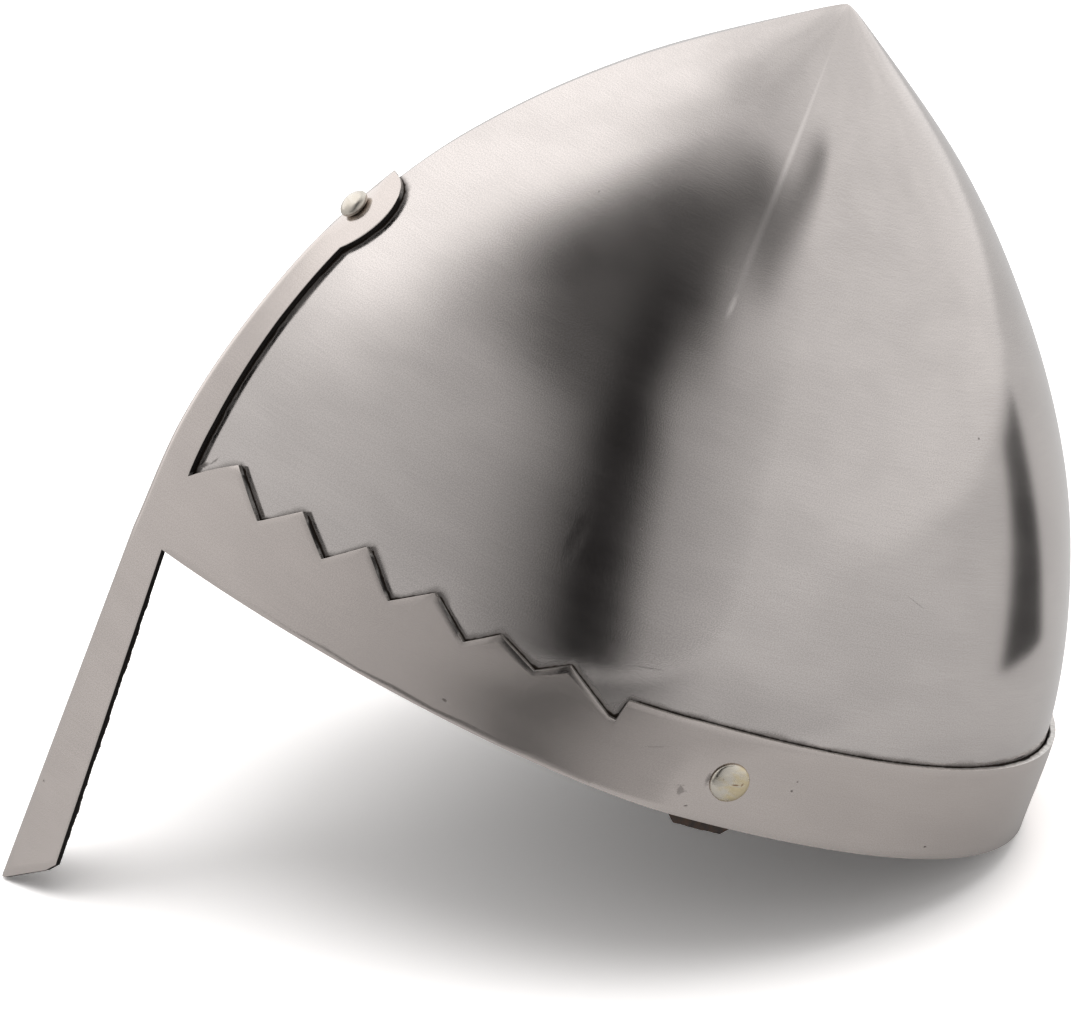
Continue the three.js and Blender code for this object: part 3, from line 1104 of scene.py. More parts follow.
@dataclass(frozen=True)
class OiledLeather:
    """Dark brown oiled leather, paler and fibrous where it is worn."""

    name: str
    colour: Colour = (0.028, 0.017, 0.012)
    worn: Colour = (0.085, 0.052, 0.036)
    grain_size: float = 0.55
    roughness: tuple[float, float] = (0.52, 0.82)
    relief: Relief = Relief(0.7, 0.15)

    def material(self, effects: Effects) -> bpy.types.Material:
        """Builds the finish on object coordinates, so that its grain runs round the edges.

        Args:
            effects: the shared node groups.

        Returns:
            The material.
        """
        material, wiring, shader = fresh_material(self.name)
        place = wiring.node("ShaderNodeTexCoord").outputs["Object"]
        inputs = {"Vector": place, "Grain Size": self.grain_size * MM}
        grain = wiring.group(effects.hide_grain, inputs)
        colour = wiring.blend(grain["Wear"], self.colour, self.worn)
        rough = wiring.ease(grain["Wear"], 0.0, 1.0, *self.roughness)
        wiring.feed(shader.inputs["Base Color"], colour)
        wiring.feed(shader.inputs["Roughness"], rough)
        wiring.feed(shader.inputs["Normal"], wiring.bump(self.relief, grain["Height"]))
        return material


@dataclass(frozen=True)
class BrowBand:
    """The band with its teeth, the nasal below it and the riveted strip above it, in one sheet."""

    inner: float = 0.3
    outer: float = 1.85
    ring_rows: int = 12
    corner_arc: float = 9.6
    corner_height: float = 18.6
    teeth: tuple[tuple[float, float], ...] = (
        (21.6, 27.7), (32.9, 19.0), (42.7, 26.7), (52.3, 19.4), (61.5, 27.4), (71.7, 18.7),
        (81.3, 25.7), (92.1, 18.5), (99.5, 24.0), (109.9, 19.9), (117.2, 24.5), (129.6, 17.2),
        (131.4, 17.0), (132.6, 22.4), (150.0, 23.3),
    )
    tooth_column: float = 2.2
    back_column: float = 3.0
    nasal_top_half: float = 9.0
    nasal_foot_half: float = 12.1
    nasal_rows: int = 34
    foot_shares: tuple[tuple[float, float], ...] = ((0.0, 0.0), (0.835, 8.68), (1.0, 11.4))
    strip_widths: tuple[tuple[float, float], ...] = (
        (20.0, 7.8), (33.0, 7.4), (47.0, 6.6), (60.0, 5.95), (80.5, 5.55),
    )
    strip_rows: int = 30
    egg_height: float = 88.8
    egg_half: float = 7.6
    egg_up: float = 10.7
    egg_down: float = 12.0
    egg_rows: int = 12
    egg_corner: float = 48.0
    foot_rise: float = 10.4
    shares: tuple[float, ...] = (
        0.0, 0.02, 0.07, 0.15, 0.25, 0.36, 0.47, 0.58, 0.67, 0.755, 0.835, 0.92, 1.0,
    )
    rounding: float = 0.2
    sharp_angle: float = 50.0
    seam_step: float = 0.5
    face: GroundSteel = GroundSteel(
        "band_steel",
        (0.585, 0.53, 0.5),
        roughness=0.19,
        anisotropy=0.3,
        contrast=0.06,
        cloud_size=10.0,
        marks=(
            Mark(93.4, 4.2, 1.6, 0.9, stain=0.8),
            Mark(151.5, 6.5, 3.4, 2.6, turn=30.0, stain=0.35, uneven=3.0),
            Mark(154.3, 3.0, 1.2, 0.6, turn=20.0, stain=0.6, uneven=1.2),
            Mark(178.1, 12.6, 1.0, 0.8, stain=0.7),
            Mark(178.6, 15.1, 0.7, 0.6, stain=0.5),
            Mark(222.6, 3.3, 1.3, 0.7, stain=0.7),
            Mark(142.2, 14.5, 7.6, 0.3, turn=20.0, stain=0.35, uneven=0.8),
            Mark(157.0, 10.6, 1.6, 5.0, stain=0.5, uneven=1.2, core=0.0),
            Mark(2.2, -66.0, 1.1, 0.7, stain=0.6),
            Mark(-70.0, 8.0, 1.4, 0.8, stain=0.7),
            Mark(-150.0, 5.0, 1.6, 0.8, turn=25.0, stain=0.6),
            Mark(-215.0, 14.0, 1.2, 0.8, stain=0.6),
        ),
    )
    back_face: GroundSteel = GroundSteel(
        "band_inside",
        (0.42, 0.40, 0.385),
        roughness=0.38,
        anisotropy=0.0,
        work=Strokes.GROUND_SHORT,
        contrast=0.12,
    )
    cut: CutEdge = CutEdge()

    def across(self) -> Array:
        """Shares of the half width at the middle block's columns, from right to left."""
        half = np.array(self.shares)
        return np.concatenate([-half[:0:-1], half])

    def border_half(self, height: Array) -> Array:
        """Half width of the middle block at a height between the nasal's foot and the strip's end.

        Args:
            height: heights above the rim, negative on the nasal.

        Returns:
            The half widths.
        """
        reach = FORM.nasal_drop - self.foot_rise
        widening = self.nasal_foot_half - self.nasal_top_half
        below = self.nasal_top_half - widening * height / reach
        heights = [0.0] + [row[0] for row in self.strip_widths]
        widths = [self.nasal_top_half] + [row[1] for row in self.strip_widths]
        return np.where(height < 0, below, np.interp(height, heights, widths))

    def middle_plan(self) -> Array:
        """The middle block's outline plan, as x and height by column and row.

        Returns:
            The plan, from the nasal up to the end of the strip.
        """
        across = self.across()
        rise = np.interp(np.abs(across), *zip(*self.foot_shares))
        foot = -FORM.nasal_drop + rise
        down = np.linspace(1, 0, self.nasal_rows + 1)[:-1]
        nasal = foot[:, None] * down[None, :]
        brow = np.linspace(0, self.corner_height, self.ring_rows + 1)[:-1]
        strip = np.linspace(self.corner_height, self.strip_widths[-1][0], self.strip_rows + 1)
        upper = np.broadcast_to(np.concatenate([brow, strip]), (len(across), len(brow) + len(strip)))
        height = np.concatenate([nasal, upper], axis=1)
        x = across[:, None] * self.border_half(height)
        return np.concatenate([np.stack([x, height], axis=-1), self.egg_plan()[:, 1:]], axis=1)

    def egg_plan(self) -> Array:
        """The egg-shaped end as a patch between its neck, its two sides and its top.

        Returns:
            The patch, as x and height by column and row.
        """
        across = (self.across() + 1) / 2
        up = np.linspace(0, 1, self.egg_rows + 1)
        neck_half, neck_height = self.strip_widths[-1][1], self.strip_widths[-1][0]
        neck = -math.acos(neck_half / self.egg_half)
        corner = math.radians(self.egg_corner)
        side = self.egg_outline(neck + (corner - neck) * up)
        mirror = side * np.array([-1.0, 1.0])
        top = self.egg_outline(math.pi - corner - (math.pi - 2 * corner) * across)
        base = np.stack([neck_half * (2 * across - 1), np.full_like(across, neck_height)], axis=-1)
        u, v = across[:, None, None], up[None, :, None]
        ruled = (1 - v) * base[:, None] + v * top[:, None] + (1 - u) * mirror[None] + u * side[None]
        corners = (1 - u) * ((1 - v) * mirror[0] + v * mirror[-1]) + u * (
            (1 - v) * side[0] + v * side[-1]
        )
        return ruled - corners

    def egg_outline(self, turn: Array) -> Array:
        """Points of the egg's outline at angles from the level through its middle.

        Args:
            turn: the angles, in radians.

        Returns:
            The points, as x and height.
        """
        reach = np.where(turn < 0, self.egg_down, self.egg_up)
        height = self.egg_height + reach * np.sin(turn)
        return np.stack([self.egg_half * np.cos(turn), height], axis=-1)

    def ring_columns(self) -> Array:
        """Arc lengths of the ring's columns, from the strip's corner to the middle of the back.

        Returns:
            The arc lengths.
        """
        marks = [self.corner_arc] + [tooth[0] for tooth in self.teeth]
        arcs = [self.corner_arc]
        for start, end in zip(marks, marks[1:]):
            steps = max(1, round((end - start) / self.tooth_column))
            arcs.extend(np.linspace(start, end, steps + 1)[1:])
        back = FORM.arcs()[1][-1]
        steps = round((back - arcs[-1]) / self.back_column)
        arcs.extend(np.linspace(arcs[-1], back, steps + 1)[1:])
        return np.array(arcs)

    def edge_height(self, arc: Array) -> Array:
        """Height of the band's upper edge at an arc length from the ridge.

        Args:
            arc: the arc lengths.

        Returns:
            The heights.
        """
        arcs = [self.corner_arc] + [tooth[0] for tooth in self.teeth]
        heights = [self.corner_height] + [tooth[1] for tooth in self.teeth]
        return np.interp(arc, arcs, heights)

    def ring_plan(self) -> Array:
        """The left half of the ring, as station and height by column and row.

        Returns:
            The plan, from the strip to the back.
        """
        arcs = self.ring_columns()
        share = np.linspace(0, 1, self.ring_rows + 1)
        height = self.edge_height(arcs)[:, None] * share[None, :]
        station = np.broadcast_to(FORM.station_of_arc(arcs)[:, None], height.shape).copy()
        border_height = self.corner_height * share
        border = FORM.station_at(self.border_half(border_height), border_height)
        first_peak = int(np.argmin(np.abs(arcs - self.teeth[0][0])))
        blend = (arcs[:first_peak] - arcs[0]) / (arcs[first_peak] - arcs[0])
        peak = station[first_peak, 0]
        station[:first_peak] = border[None, :] + blend[:, None] * (peak - border[None, :])
        return np.stack([station, height], axis=-1)

    def blocks(self) -> list[Array]:
        """The three blocks of the sheet as station and height: right ring, middle, left ring.

        Returns:
            The blocks, whose borders meet.
        """
        plan = self.middle_plan()
        middle = np.stack([FORM.station_at(plan[..., 0], plan[..., 1]), plan[..., 1]], axis=-1)
        left = self.ring_plan()
        left[0, :, :] = middle[-1, self.nasal_rows : self.nasal_rows + self.ring_rows + 1]
        right = left[::-1] * np.array([-1.0, 1.0])
        return [right, middle, left]

    def outlines(self, blocks: list[Array]) -> list[Array]:
        """The sheet's borders: the toothed edge with the strip, and the rim with the nasal.

        Args:
            blocks: the three blocks.

        Returns:
            The upper and the lower border, from right to left.
        """
        right, middle, left = blocks
        rows = self.nasal_rows
        corner = rows + self.ring_rows
        upper = [
            right[:, -1],
            middle[0, corner + 1 :],
            middle[1:-1, -1],
            middle[-1, corner + 1 :][::-1],
            left[:, -1],
        ]
        lower = [
            right[:, 0],
            middle[0, :rows][::-1],
            middle[1:-1, 0],
            middle[-1, :rows],
            left[:, 0],
        ]
        return [np.concatenate(upper), np.concatenate(lower)]

    def seam(self) -> Array:
        """Points along the upper edge where it meets the skull, evenly spaced.

        Returns:
            The points, in millimetres.
        """
        line = self.outlines(self.blocks())[0]
        points = FORM.point(line[:, 0], line[:, 1])
        length = along(points)
        places = np.arange(0.0, length[-1], self.seam_step)
        return np.stack([np.interp(places, length, points[:, axis]) for axis in range(3)], axis=-1)

    def covers(self, station: Array, height: Array) -> Array:
        """Whether places of the skull lie under the ring, the strip or the egg-shaped end.

        Args:
            station: stations of the places.
            height: their heights above the rim.

        Returns:
            True for each place that is covered.
        """
        x = np.abs(FORM.point(station, height)[..., 0])
        ring = height < self.edge_height(np.abs(FORM.arc_of_station(station)))
        ahead = (np.abs(station) < 1) & (height < self.strip_widths[-1][0])
        strip = ahead & (x < self.border_half(height))
        rise = height - self.egg_height
        reach = np.where(rise < 0, self.egg_down, self.egg_up)
        egg = (np.abs(station) < 1) & ((x / self.egg_half) ** 2 + (rise / reach) ** 2 < 1)
        return ring | strip | egg

    @staticmethod
    def fall(line: Array) -> Array:
        """How steeply an edge falls away from the ridge.

        Args:
            line: station and height along the edge, from right to left.

        Returns:
            For each point 1 where the edge falls upright, 0 where it runs level and -1 where it rises.
        """
        flat = np.stack([FORM.arc_of_station(line[:, 0]), line[:, 1]], axis=-1)
        step = np.gradient(flat, axis=0)
        fall = -step[:, 1] * np.sign(flat[:, 0])
        return fall / np.maximum(np.linalg.norm(step, axis=-1), SMALL_STEP)

    def edge_wall(
        self, name: str, line: Array, shade_and_soot: Array, finish: bpy.types.Material
    ) -> bpy.types.Object:
        """The cut edge between the two faces along one border.

        Args:
            name: the part's name.
            line: station and height along the border.
            shade_and_soot: how black the wall is at each point, from 0 to 1, as painted shade together
                with residue.
            finish: the cut edge's material.

        Returns:
            The wall.
        """
        walls = [FORM.offset(line[:, 0], line[:, 1], face) for face in (self.outer, self.inner)]
        length = along(walls[0])
        depth = np.array([0.0, self.outer - self.inner])
        uv = np.stack(np.broadcast_arrays(length[:, None], depth[None, :]), axis=-1)
        values = {SHADE_AND_SOOT: np.stack([shade_and_soot, shade_and_soot], axis=1)}
        return laid_grid(name, np.stack(walls, axis=1), uv, finish, values)

    def build(self, effects: Effects) -> bpy.types.Object:
        """Makes the sheet's two faces from the blocks and closes them with the cut edges.

        Args:
            effects: the shared node groups.

        Returns:
            The sheet.
        """
        face, back = self.face.material(effects), self.back_face.material(effects)
        cut = self.cut.material(effects)
        parts = []
        blocks = self.blocks()
        for index, block in enumerate(blocks):
            uv = np.stack([FORM.arc_of_station(block[..., 0]), block[..., 1]], axis=-1)
            for offset, finish in ((self.outer, face), (self.inner, back)):
                points = FORM.offset(block[..., 0], block[..., 1], offset)
                parts.append(laid_grid(f"band_{index}_{finish.name}", points, uv, finish))
        upper, lower = self.outlines(blocks)
        # Painted shade together with residue: the upper edge goes black where its walls face away from
        # the ridge, the lower edge along the nasal's upright sides.
        turned_away = np.maximum(self.fall(upper), 0)
        nasal_sides = np.abs(self.fall(lower))
        parts.append(self.edge_wall("band_upper_edge", upper, turned_away, cut))
        parts.append(self.edge_wall("band_lower_edge", lower, nasal_sides, cut))
        piece = merged("toothed_brow_band", parts)
        soften(piece, self.rounding, self.sharp_angle)
        dress(piece, "brow_band")
        return piece


@dataclass(frozen=True)
class Skull:
    """The raised skull: one sheet with a ridge in front and a rounded point."""

    clearance: float = 0.15
    thickness: float = 1.6
    front_columns: int = 84
    back_columns: int = 60
    rows: int = 84
    crowding: float = 1.3
    inner_top: float = 166.0
    tip_clearance: float = 1.6
    rounding: float = 0.35
    fold_reach: float = 0.5
    seam_limit: float = 9.0
    seam_margin: float = 8.0
    seam_group: int = 8
    outside: GroundSteel = GroundSteel(
        "skull_steel",
        (0.612, 0.568, 0.546),
        roughness=0.15,
        anisotropy=0.35,
        # The seam line is painted shade of the gap along the band's upper edge, together with black
        # residue in it.
        shade_and_residue_line=0.7,
        seam_smear=2.6,
        marks=(
            Mark(121.1, 58.7, 1.0, 0.9, stain=0.85),
            Mark(107.2, 51.0, 6.0, 15.0, turn=-8.0, dent=0.16, uneven=0.3, core=0.0),
            Mark(134.1, 30.6, 8.5, 0.35, turn=12.0, stain=0.4, uneven=0.8),
            Mark(11.0, 22.0, 5.5, 1.6, turn=50.0, stain=0.6, uneven=1.6),
            Mark(13.5, 24.5, 3.0, 0.8, turn=60.0, stain=0.4, uneven=1.6),
            # These two marks are a painted highlight: a lighter streak and spot where a lamp's reflection
            # runs down from the point.
            Mark(124.5, 135.0, 66.0, 5.5, turn=90.0, painted_highlight=0.6, uneven=0.2, core=0.0),
            Mark(124.3, 109.0, 8.0, 3.0, turn=80.0, painted_highlight=0.9, uneven=0.4, core=0.0),
            Mark(222.0, 96.0, 1.1, 0.7, stain=0.6),
            Mark(60.0, 118.0, 0.9, 0.7, stain=0.5),
            Mark(200.0, 60.0, 9.0, 0.3, turn=-20.0, stain=0.3, uneven=0.8),
            Mark(-96.0, 70.0, 1.1, 0.8, stain=0.7),
            Mark(-140.0, 40.0, 8.0, 0.35, turn=18.0, stain=0.35, uneven=0.8),
            Mark(-205.0, 84.0, 1.2, 0.9, stain=0.6),
        ),
    )
    inside: GroundSteel = GroundSteel(
        "skull_inside",
        (0.36, 0.345, 0.335),
        roughness=0.42,
        anisotropy=0.0,
        work=Strokes.GROUND_SHORT,
        contrast=0.16,
        cloud_size=9.0,
        grain=Relief(0.4, 0.06),
    )

    def stations(self) -> Array:
        """Stations of the columns, right round from back to back.

        Returns:
            The stations.
        """
        front = np.linspace(0, 1, self.front_columns + 1)
        back = np.linspace(1, 2, self.back_columns + 1)[1:]
        half = np.concatenate([front, back])
        return np.concatenate([-half[:0:-1], half])

    def levels(self) -> Array:
        """Heights of the rows, closer together towards the point."""
        share = np.linspace(0, 1, self.rows + 1)
        return FORM.heights[-1] * (1 - (1 - share) ** self.crowding)

    def outer(self, stations: Array, levels: Array) -> Array:
        """Points of the outer face, by column and row.

        Args:
            stations: the columns.
            levels: the rows' heights.

        Returns:
            The points.
        """
        points = FORM.offset(stations[:, None], levels[None, :], -self.clearance)
        points[:, 0, 2] = 0.0
        tip = FORM.lifted(np.array(levels[-1])) - self.clearance
        points[:, -1] = np.array([0.0, 0.0, tip])
        return points

    def inner(self, stations: Array, levels: Array) -> Array:
        """Points of the inner face, folded together where the two flanks of the ridge meet.

        Args:
            stations: the columns.
            levels: the rows' heights.

        Returns:
            The points, by column and row.
        """
        points = FORM.offset(stations[:, None], levels[None, :], -self.thickness)
        crossed = points[..., 0] * np.sign(stations)[:, None] <= 0
        ahead = np.abs(stations)[:, None] < self.fold_reach
        fold = np.where(crossed & ahead, points[..., 1], -np.inf).max(axis=0)
        points[..., 1] = np.where(crossed & ahead, fold[None, :], points[..., 1])
        points[..., 0] = np.where(crossed, 0.0, points[..., 0])
        points[:, 0, 2] = 0.0
        tip = FORM.lifted(np.array(FORM.heights[-1])) - self.tip_clearance
        points[:, levels > self.inner_top] = np.array([0.0, 0.0, tip])
        return points

    def seam_distance(self, points: Array, seam: Array, covered: Array) -> Array:
        """Distance to the band's upper edge, up to a limit.

        Args:
            points: the outer face's points, by column and row.
            seam: points along the edge.
            covered: whether each point lies under the band, where the distance is negative.

        Returns:
            The distances, by column and row.
        """
        flat = points.reshape(-1, 3)
        nearest = np.full(len(flat), self.seam_limit)
        for index in range(0, len(seam), self.seam_group):
            group = seam[index : index + self.seam_group]
            reach = self.seam_limit + self.seam_margin
            close = np.linalg.norm(flat - group.mean(axis=0), axis=-1) < reach
            gaps = np.linalg.norm(flat[close, None] - group[None], axis=-1).min(axis=1)
            nearest[close] = np.minimum(nearest[close], gaps)
        return nearest.reshape(points.shape[:2]) * np.where(covered, -1.0, 1.0)

    def build(self, effects: Effects, band: BrowBand) -> bpy.types.Object:
        """Makes the skull as two laid sheets and the narrow face of the rim between them.

        Args:
            effects: the shared node groups.
            band: the band, along whose upper edge the painted shade of the seam and the residue are laid.

        Returns:
            The skull.
        """
        stations, levels = self.stations(), self.levels()
        arc = FORM.arc_of_station(stations)
        uv = np.stack(np.broadcast_arrays(arc[:, None], levels[None, :]), axis=-1)
        outer = self.outer(stations, levels)
        inner = self.inner(stations, levels)
        rim = np.stack([outer[:, 0], inner[:, 0]], axis=1)
        outside, inside = self.outside.material(effects), self.inside.material(effects)
        covered = band.covers(*np.broadcast_arrays(stations[:, None], levels[None, :]))
        distance = {SEAM: self.seam_distance(outer, band.seam(), covered)}
        clean = {SEAM: np.full(rim.shape[:2], self.seam_limit)}
        parts = [
            laid_grid("skull_outer", outer, uv, outside, distance),
            laid_grid("skull_inner", inner, uv, inside),
            laid_grid("skull_rim", rim, uv[:, :2], outside, clean),
        ]
        piece = merged("raised_skull", parts)
        soften(piece, self.rounding)
        dress(piece, "skull")
        return piece


@dataclass(frozen=True)
class NasalLining:
    """The leather that is glued into the hollow of the nasal."""

    faces: tuple[float, float] = (0.0, -1.8)
    top: float = -13.0
    inset: float = 1.4
    foot_gap: float = 1.5
    columns: int = 28
    rows: int = 120
    unevenness: float = 0.3
    edge_power: int = 8
    seed: float = 2.3
    rounding: float = 0.25
    finish: OiledLeather = OiledLeather("lining_leather")

    def plan(self, band: BrowBand) -> Array:
        """Station and height by column and row, with an edge cut by eye.

        Args:
            band: the band, whose nasal the lining is cut to.

        Returns:
            The plan.
        """
        across = np.linspace(-1, 1, self.columns + 1)
        rise = np.interp(np.abs(across), *zip(*band.foot_shares))
        foot = -FORM.nasal_drop + self.foot_gap + rise
        share = np.linspace(0, 1, self.rows + 1)
        height = foot[:, None] + (self.top - foot)[:, None] * share[None, :]
        half = band.border_half(height) - self.inset
        sides = np.sign(across)[:, None] * np.abs(across)[:, None] ** self.edge_power
        uneven = self.unevenness * ragged(height, self.seed) * sides
        x = across[:, None] * half + uneven
        return np.stack([FORM.station_at(x, height), height], axis=-1)

    def build(self, effects: Effects, band: BrowBand) -> bpy.types.Object:
        """Makes the lining as a closed sheet behind the nasal.

        Args:
            effects: the shared node groups.
            band: the band, whose nasal it lines.

        Returns:
            The lining.
        """
        plan = self.plan(band)
        uv = np.stack([FORM.arc_of_station(plan[..., 0]), plan[..., 1]], axis=-1)
        hide = self.finish.material(effects)
        piece = walled_sheet("leather_nasal_lining", plan, self.faces, uv, hide)
        soften(piece, self.rounding)
        dress(piece, "nasal_lining")
        return piece


@dataclass(frozen=True)
class LeatherTab:
    """A leather tab that hangs just below the rim inside the skull, under the side rivet."""

    side: Side
    faces: tuple[float, float] = (-1.95, -3.65)
    front: float = -0.7
    back: float = 15.9
    foot: float = -3.2
    top: float = 18.9
    corner: float = 2.2
    columns: int = 60
    rows: int = 60
    unevenness: float = 0.16
    edge_power: int = 10
    seed: float = 4.1
    temple: tuple[float, float] = (0.7, 1.4)
    samples: int = 400
    rounding: float = 0.3

    def plan(self) -> Array:
        """Station and height by column and row, with cut corners at the foot.

        Returns:
            The plan.
        """
        across = np.linspace(0, 1, self.columns + 1)
        share = np.linspace(0, 1, self.rows + 1)
        reach = self.foot + (self.top - self.foot) * share
        inset = np.maximum(self.corner - (reach - self.foot), 0)
        length = self.back - self.front - 2 * inset
        y = self.front + inset[None, :] + across[:, None] * length[None, :]
        height = np.broadcast_to(reach[None, :], y.shape)
        low = (1 - share[None, :]) ** self.edge_power
        height = height + self.unevenness * ragged(y, self.seed + self.side.value) * low
        stations = np.linspace(*self.temple, self.samples)
        line = FORM.point(stations, np.zeros_like(stations))[:, 1]
        station = np.interp(y, line, stations) * self.side.value
        return np.stack([station, height], axis=-1)

    def build(self, finish: bpy.types.Material) -> bpy.types.Object:
        """Makes the tab as a closed sheet against the inside of the skull.

        Args:
            finish: the leather.

        Returns:
            The tab.
        """
        plan = self.plan()
        uv = np.stack([FORM.arc_of_station(plan[..., 0]), plan[..., 1]], axis=-1)
        name = self.side.name.lower()
        piece = walled_sheet(f"leather_tab_{name}", plan, self.faces, uv, finish)
        soften(piece, self.rounding)
        dress(piece, f"tab_{name}")
        return piece


@dataclass(frozen=True)
class Rivet:
    """A rivet: a peened end inside, a shank through the sheets and a domed head outside."""

    node: str
    station: float
    height: float
    head_radius: float
    head_height: float
    head_base: float
    peen_base: float
    finish: RivetSteel
    undercut: float = 0.3
    belly: float = 0.18
    shank_radius: float = 1.9
    peen_radius: float = 3.3
    peen_height: float = 1.1
    peen_profile: tuple[tuple[float, float], ...] = (
        (0.0, 1.0), (0.45, 0.96), (0.8, 0.72), (1.0, 0.25), (1.0, 0.0),
    )
    sides: int = 56
    dome_steps: int = 12
    hammering: float = 0.12
    hammer_size: float = 3.0
    axis_gap: float = 0.12

    def profile(self) -> list[tuple[float, float]]:
        """Radius and height along the rivet, from its peened end to the top of its head.

        Returns:
            The profile, in millimetres.
        """
        base, peen = self.head_base, self.peen_base
        turned = [
            (max(self.peen_radius * out, self.axis_gap), peen - self.peen_height * down)
            for out, down in self.peen_profile
        ]
        turned += [(self.shank_radius, peen), (self.shank_radius, base)]
        lowest = -math.acos(1 - self.undercut / self.head_radius)
        for step in range(self.dome_steps):
            turn = lowest + (math.pi / 2 - lowest) * step / self.dome_steps
            reach = self.head_height - self.belly if turn > 0 else self.belly / math.sin(-lowest)
            radius = max(self.head_radius * math.cos(turn), self.axis_gap)
            turned.append((radius, base + self.belly + reach * math.sin(turn)))
        turned.append((self.axis_gap, base + self.head_height))
        return turned

    def turned(self) -> bpy.types.Object:
        """Makes the rivet upright: one ring, extruded and resized along its profile.

        Returns:
            The rivet.
        """
        profile = self.profile()
        radius, level = profile[0]
        deselect()
        bpy.ops.mesh.primitive_circle_add(
            vertices=self.sides, radius=radius * MM, fill_type="NGON", location=(0, 0, 0)
        )
        piece = bpy.context.object
        piece.name = f"domed_{self.node}"
        bpy.ops.object.mode_set(mode="EDIT")
        bpy.ops.mesh.select_mode(type="EDGE")
        bpy.ops.mesh.select_all(action="SELECT")
        bpy.ops.transform.translate(value=(0, 0, level * MM))
        for next_radius, next_level in profile[1:]:
            rise = (0, 0, (next_level - level) * MM)
            bpy.ops.mesh.extrude_edges_move(TRANSFORM_OT_translate={"value": rise})
            scale = next_radius / radius
            bpy.ops.transform.resize(
                value=(scale, scale, 1), center_override=(0, 0, next_level * MM)
            )
            radius, level = next_radius, next_level
        bpy.ops.mesh.edge_face_add()
        bpy.ops.mesh.select_mode(type="FACE")
        bpy.ops.mesh.select_all(action="DESELECT")
        bpy.ops.mesh.select_face_by_sides(number=4, type="GREATER")
        bpy.ops.mesh.poke()
        bpy.ops.mesh.select_all(action="SELECT")
        bpy.ops.mesh.remove_doubles(threshold=MERGE_DISTANCE)
        bpy.ops.mesh.normals_make_consistent(inside=False)
        bpy.ops.object.mode_set(mode="OBJECT")
        return piece

    def map_head(self, piece: bpy.types.Object) -> None:
        """Gives the upright rivet a map whose middle is its axis, in metres.

        Args:
            piece: the rivet.
        """
        mesh = piece.data
        layer = mesh.uv_layers.get(UV_MAP) or mesh.uv_layers.new(name=UV_MAP)
        places = np.zeros(len(mesh.vertices) * 3, np.float32)
        mesh.vertices.foreach_get("co", places)
        corners = np.zeros(len(mesh.loops), np.int32)
        mesh.loops.foreach_get("vertex_index", corners)
        layer.data.foreach_set("uv", places.reshape(-1, 3)[corners, :2].ravel())

    def hammer(self, piece: bpy.types.Object) -> None:
        """Makes the head slightly uneven, as a hand-set rivet is.

        Args:
            piece: the rivet.
        """
        clouds = bpy.data.textures.new(f"hammering_{self.node}", "CLOUDS")
        clouds.noise_scale = self.hammer_size * MM
        displace = piece.modifiers.new("hammering", "DISPLACE")
        displace.texture = clouds
        displace.strength = self.hammering * MM
        displace.mid_level = 0.5
        apply_modifiers(piece)

    def place(self, piece: bpy.types.Object) -> None:
        """Turns the rivet to its seat and applies its place to its mesh.

        Args:
            piece: the upright rivet.
        """
        station, height = np.array(self.station), np.array(self.height)
        seat = FORM.to_row(FORM.point(station, height))
        axis = Vector(FORM.row_normal(FORM.normal(station, height)))
        ahead = FORM.point(station + SMALL_STEP, height) - FORM.point(station - SMALL_STEP, height)
        across = Vector(FORM.row_normal(ahead)).normalized()
        rise = axis.cross(across)
        turn = Matrix((across, rise, axis)).transposed().to_4x4()
        activate(piece)
        piece.matrix_world = Matrix.Translation(Vector(seat)) @ turn
        bpy.ops.object.transform_apply(location=True, rotation=True, scale=True)

    def build(self, effects: Effects) -> bpy.types.Object:
        """Makes, maps, hammers and places the rivet.

        Args:
            effects: the shared node groups.

        Returns:
            The rivet.
        """
        piece = self.turned()
        self.map_head(piece)
        self.hammer(piece)
        piece.data.materials.append(self.finish.material(effects))
        self.place(piece)
        bpy.ops.object.shade_smooth_by_angle(angle=math.radians(SMOOTH_ANGLE))
        dress(piece, self.node)
        return piece


